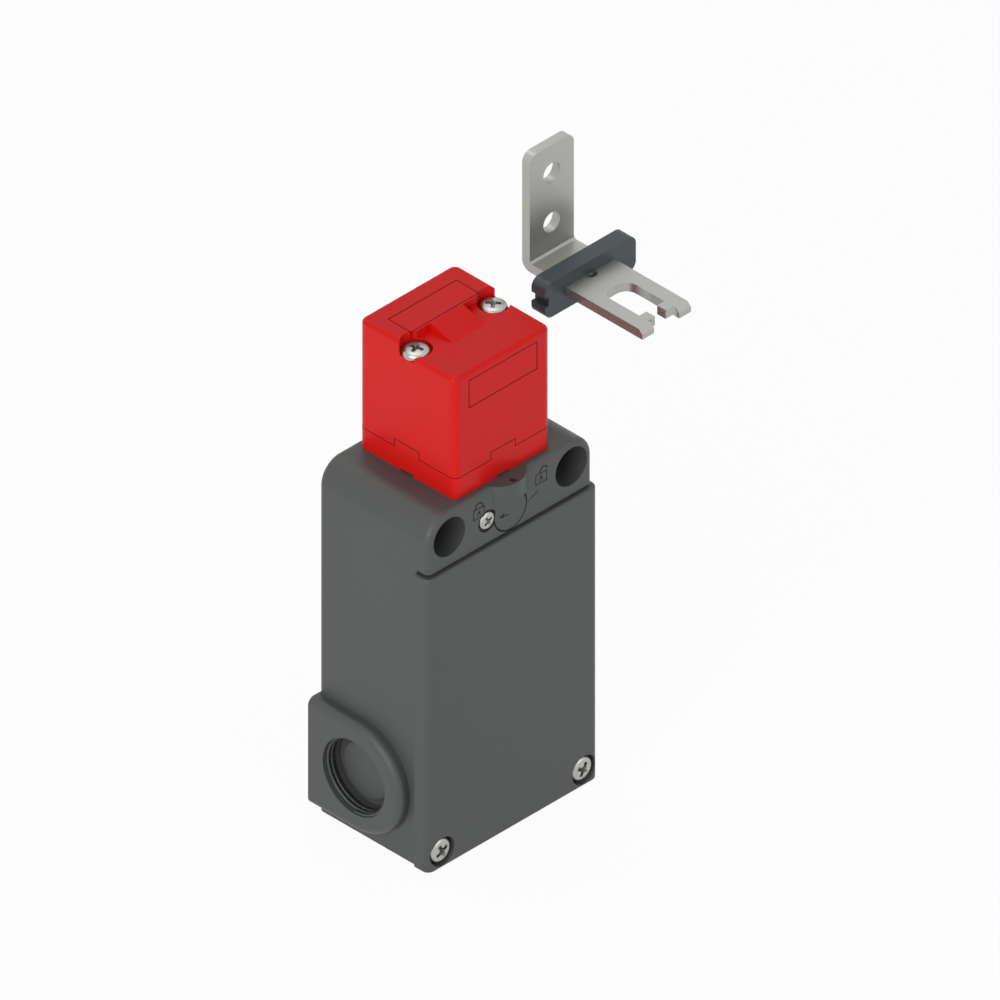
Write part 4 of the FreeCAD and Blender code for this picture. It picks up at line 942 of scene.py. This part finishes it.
@dataclass
class HeadLines:
    """Joint lines of the head: the parting line over the base, and the edges of both slots."""

    round_radius: float = 2.0
    round_steps: int = 6
    tab_half: float = 4.0
    tab_height: float = 2.1
    line: Band = Band(0.2)
    slot_gap: float = 0.15

    def parting(self) -> list[Path]:
        """Follow the line between base and shell, round all four sides with their tabs.

        Returns:
            One line for each side, with the corner after it.
        """
        low, high = (Vector(c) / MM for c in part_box("head_shell"))
        half = (high.x - low.x) / 2
        flat, tab = half - self.round_radius, self.tab_half
        centre = Vector(((low.x + high.x) / 2, (low.y + high.y) / 2, low.z))
        front = Facing.FRONT.out
        side: Path = [(Vector((u, -half, rise)), front) for u, rise in (
            (-flat, 0.0), (-tab, 0.0), (-tab, self.tab_height),
            (tab, self.tab_height), (tab, 0.0), (flat, 0.0))]
        for i in range(1, self.round_steps + 1):
            turn = math.pi / 2 * i / self.round_steps
            out = Vector((math.sin(turn), -math.cos(turn), 0))
            side.append((Vector((flat, -flat, 0)) + out * self.round_radius, out))
        paths = []
        for quarter in range(4):
            turned = Matrix.Rotation(math.pi / 2 * quarter, 3, "Z")
            paths.append([(turned @ point + centre, turned @ out) for point, out in side])
        return paths

    def slot(self, plug: str, facing: Facing) -> Path:
        """Follow the edge of the slot round a plug.

        Args:
            plug: The plug's node.
            facing: The side that it closes.

        Returns:
            A closed line.
        """
        low, high = (Vector(c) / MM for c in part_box(plug))
        shell_low, shell_high = (Vector(c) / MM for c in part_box("head_shell"))
        gap = Vector((1, 1, 1)) * self.slot_gap
        low, high = low - gap, high + gap
        if facing is Facing.FRONT:
            low.y = high.y = shell_low.y
            corners = [low, (high.x, low.y, low.z), high, (low.x, low.y, high.z), low]
        else:
            low.z = high.z = shell_high.z
            corners = [low, (high.x, low.y, low.z), high, (low.x, high.y, low.z), low]
        return [(Vector(corner), facing.out) for corner in corners]

    def build(self, palette: Palette) -> list[bpy.types.Object]:
        """Lay the lines on the head.

        Args:
            palette: Finishes.

        Returns:
            The pieces.
        """
        joint = palette.get("red_joint")
        lines = {
            "head_parting_line": self.parting(),
            "slot_edges": [self.slot("slot_plug_front", Facing.FRONT),
                           self.slot("slot_plug_top", Facing.UP)],
        }
        return [new_piece(name, self.line.mesh(name, paths), joint, "head")
                for name, paths in lines.items()]


@dataclass
class KeyTips:
    """The key's plate with the upper front edges of its prongs chamfered."""

    chamfer: float = 1.1
    tolerance: float = 0.01
    flat_angle: float = 0.5

    def build(self, palette: Palette) -> bpy.types.Object:
        """Copy the plate, chamfer the upper edge of each tip and stand for the plate.

        Args:
            palette: Finishes.

        Returns:
            The piece.
        """
        low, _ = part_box("key_plate")
        made = bmesh.new()
        made.from_mesh(frame["nodes"]["key_plate"].data)
        bmesh.ops.remove_doubles(made, verts=made.verts, dist=WELD)
        bmesh.ops.dissolve_limit(made, angle_limit=math.radians(self.flat_angle),
                                 verts=made.verts, edges=made.edges)
        tips = [v for v in made.verts if v.co.y < low[1] + self.tolerance * MM]
        top = max(v.co.z for v in tips) - self.tolerance * MM
        edges = [e for e in made.edges if all(v in tips and v.co.z > top for v in e.verts)]
        bmesh.ops.bevel(made, geom=edges, offset=self.chamfer * MM, segments=1, affect="EDGES")
        mesh = closed_mesh(made, "key_plate_tips")
        smooth_by_angle(mesh, PLATE_SHARP)
        piece = new_piece("key_plate_tips", mesh, palette.get("stainless_plate"), "key")
        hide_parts("key_plate")
        return piece


@dataclass(frozen=True)
class Softbox:
    """A square soft light: its place and side in metres, and its power in watts."""

    name: str
    place: tuple[float, float, float]
    side: float
    power: float

    def build(self, aim: Vector) -> None:
        """Stand the light up.

        Args:
            aim: The point that it looks at, in metres.
        """
        data = bpy.data.lights.new(self.name, "AREA")
        data.size, data.energy = self.side, self.power
        made = put_in_scene(self.name, data)
        made.location = self.place
        made.rotation_euler = (aim - Vector(self.place)).to_track_quat("-Z", "Y").to_euler()


@dataclass
class Studio:
    """Camera, soft lights, a pale floor and a white backdrop, in metres."""

    aim: tuple[float, float, float] = (0.0, -0.0146, 0.0906)
    look: tuple[float, float, float] = (1, 1, -1)
    span: float = 0.232
    distance: float = 1.2
    softboxes: tuple[Softbox, ...] = (
        Softbox("left_softbox", (-1.1, -0.35, 0.55), 0.9, 9.2),
        Softbox("front_softbox", (0.25, -1.2, 0.5), 0.9, 3.0),
        Softbox("top_softbox", (0.1, 0.3, 1.3), 0.8, 3.4),
    )
    sky: Shade = (0.9, 0.95, 1.0, 1.0)
    sky_strength: float = 0.4
    floor_side: float = 3.0
    floor_drop: float = 0.0002
    floor_low: Shade = (0.86, 0.86, 0.86, 1.0)
    floor_high: Shade = (0.9, 0.9, 0.9, 1.0)
    floor_glow: float = 0.94
    floor_scale: float = 8.0
    floor_detail: float = 2.0

    def camera(self) -> None:
        """Set up the isometric camera at the photograph's angle."""
        data = bpy.data.cameras.new("camera")
        data.type, data.ortho_scale = "ORTHO", self.span
        made = put_in_scene("camera", data)
        look = Vector(self.look).normalized()
        made.location = Vector(self.aim) - look * self.distance
        made.rotation_euler = look.to_track_quat("-Z", "Y").to_euler()
        bpy.context.scene.camera = made

    def world(self) -> None:
        """Set up grey light on the object, and plain white to the camera and in mirrors."""
        world = bpy.data.worlds.new("studio")
        tree = ShaderTree(world)
        path = tree.node("ShaderNodeLightPath").outputs
        seen = tree.value(path["Is Camera Ray"]).most(tree.value(path["Is Transmission Ray"]))
        seen = seen.most(tree.value(path["Is Glossy Ray"]))
        dim = tree.node("ShaderNodeBackground", inputs={
            "Color": self.sky, "Strength": self.sky_strength})
        bright = tree.node("ShaderNodeBackground", inputs={"Color": WHITE})
        tree.finish(tree.node("ShaderNodeMixShader", inputs={
            0: seen, 1: dim.outputs[0], 2: bright.outputs[0]}))
        bpy.context.scene.world = world

    def floor(self) -> None:
        """Lay a pale floor that is near white to the camera and keeps the shadow."""
        made = bmesh.new()
        bmesh.ops.create_grid(made, x_segments=2, y_segments=2, size=self.floor_side)
        mesh = closed_mesh(made, "floor")
        mesh.transform(Matrix.Translation((0, 0, -self.floor_drop)))
        material = bpy.data.materials.new("floor")
        tree = ShaderTree(material)
        grain = tree.noise(self.floor_scale, self.floor_detail)
        matt = tree.node("ShaderNodeBsdfDiffuse", inputs={
            "Color": tree.tone(grain, self.floor_low, self.floor_high)})
        glow = tree.node("ShaderNodeEmission", inputs={"Color": WHITE, "Strength": 1.0})
        path = tree.node("ShaderNodeLightPath").outputs
        seen = tree.value(path["Is Camera Ray"]) + tree.value(path["Is Glossy Ray"])
        tree.finish(tree.node("ShaderNodeMixShader", inputs={
            0: seen * self.floor_glow, 1: matt.outputs[0], 2: glow.outputs[0]}))
        mesh.materials.append(material)
        plane = put_in_scene("floor", mesh)

    def build(self) -> None:
        """Set up camera, lights, world and floor."""
        self.camera()
        for softbox in self.softboxes:
            softbox.build(Vector(self.aim))
        self.world()
        self.floor()
        bpy.context.scene.view_settings.view_transform = "Standard"


def dress_frame(palette: Palette) -> None:
    """Give every CAD node the finish of its slot.

    Args:
        palette: Finishes.
    """
    slots = {part["node"]: part["material_slot"] for part in frame["record"]["subparts"]}
    for node, made in frame["nodes"].items():
        material = palette.get(slots[node])
        if not made.material_slots:
            made.data.materials.append(material)
        for slot in made.material_slots:
            slot.material = material


def screw_groups() -> list[PanScrews]:
    """List the screws that show.

    Returns:
        One group for each CAD node of screws.
    """
    return [
        PanScrews("cover_screw_heads", "cover_screws", "front_cover", Facing.FRONT,
                  head_radius=3.35, rise=2.1, root_radius=1.4, twists=(28, 62)),
        PanScrews("head_screw_heads", "head_screws", "head", Facing.UP,
                  head_radius=3.3, rise=2.0, root_radius=1.6, twists=(15, 40)),
        PanScrews("dial_screw_head", "dial_screw", "frame", Facing.FRONT,
                  head_radius=2.35, rise=1.3, root_radius=1.0, twists=(30,), pitch=0.5, segments=48),
        PanScrews("earth_screw_head", "earth_screw", "frame", Facing.FRONT,
                  head_radius=2.6, rise=1.8, root_radius=1.3, twists=(10,), pitch=0.6, segments=32),
    ]


def main() -> None:
    """Build the sub-assemblies in order and report each piece."""
    palette = Palette()
    Studio().build()
    dress_frame(palette)
    made = [group.build(palette) for group in screw_groups()]
    made += [CableEntry.from_mount(mount).build(palette) for mount in frame["record"]["mounts"]
             if mount["kind"] == "threaded_hole"]
    made += FrontSigns().build(palette)
    made += HeadLines().build(palette)
    made.append(KeyTips().build(palette))
    for piece in made:
        LOG.info("%s: %d faces", piece.name, len(piece.data.polygons))


if __name__ == "__main__":
    main()
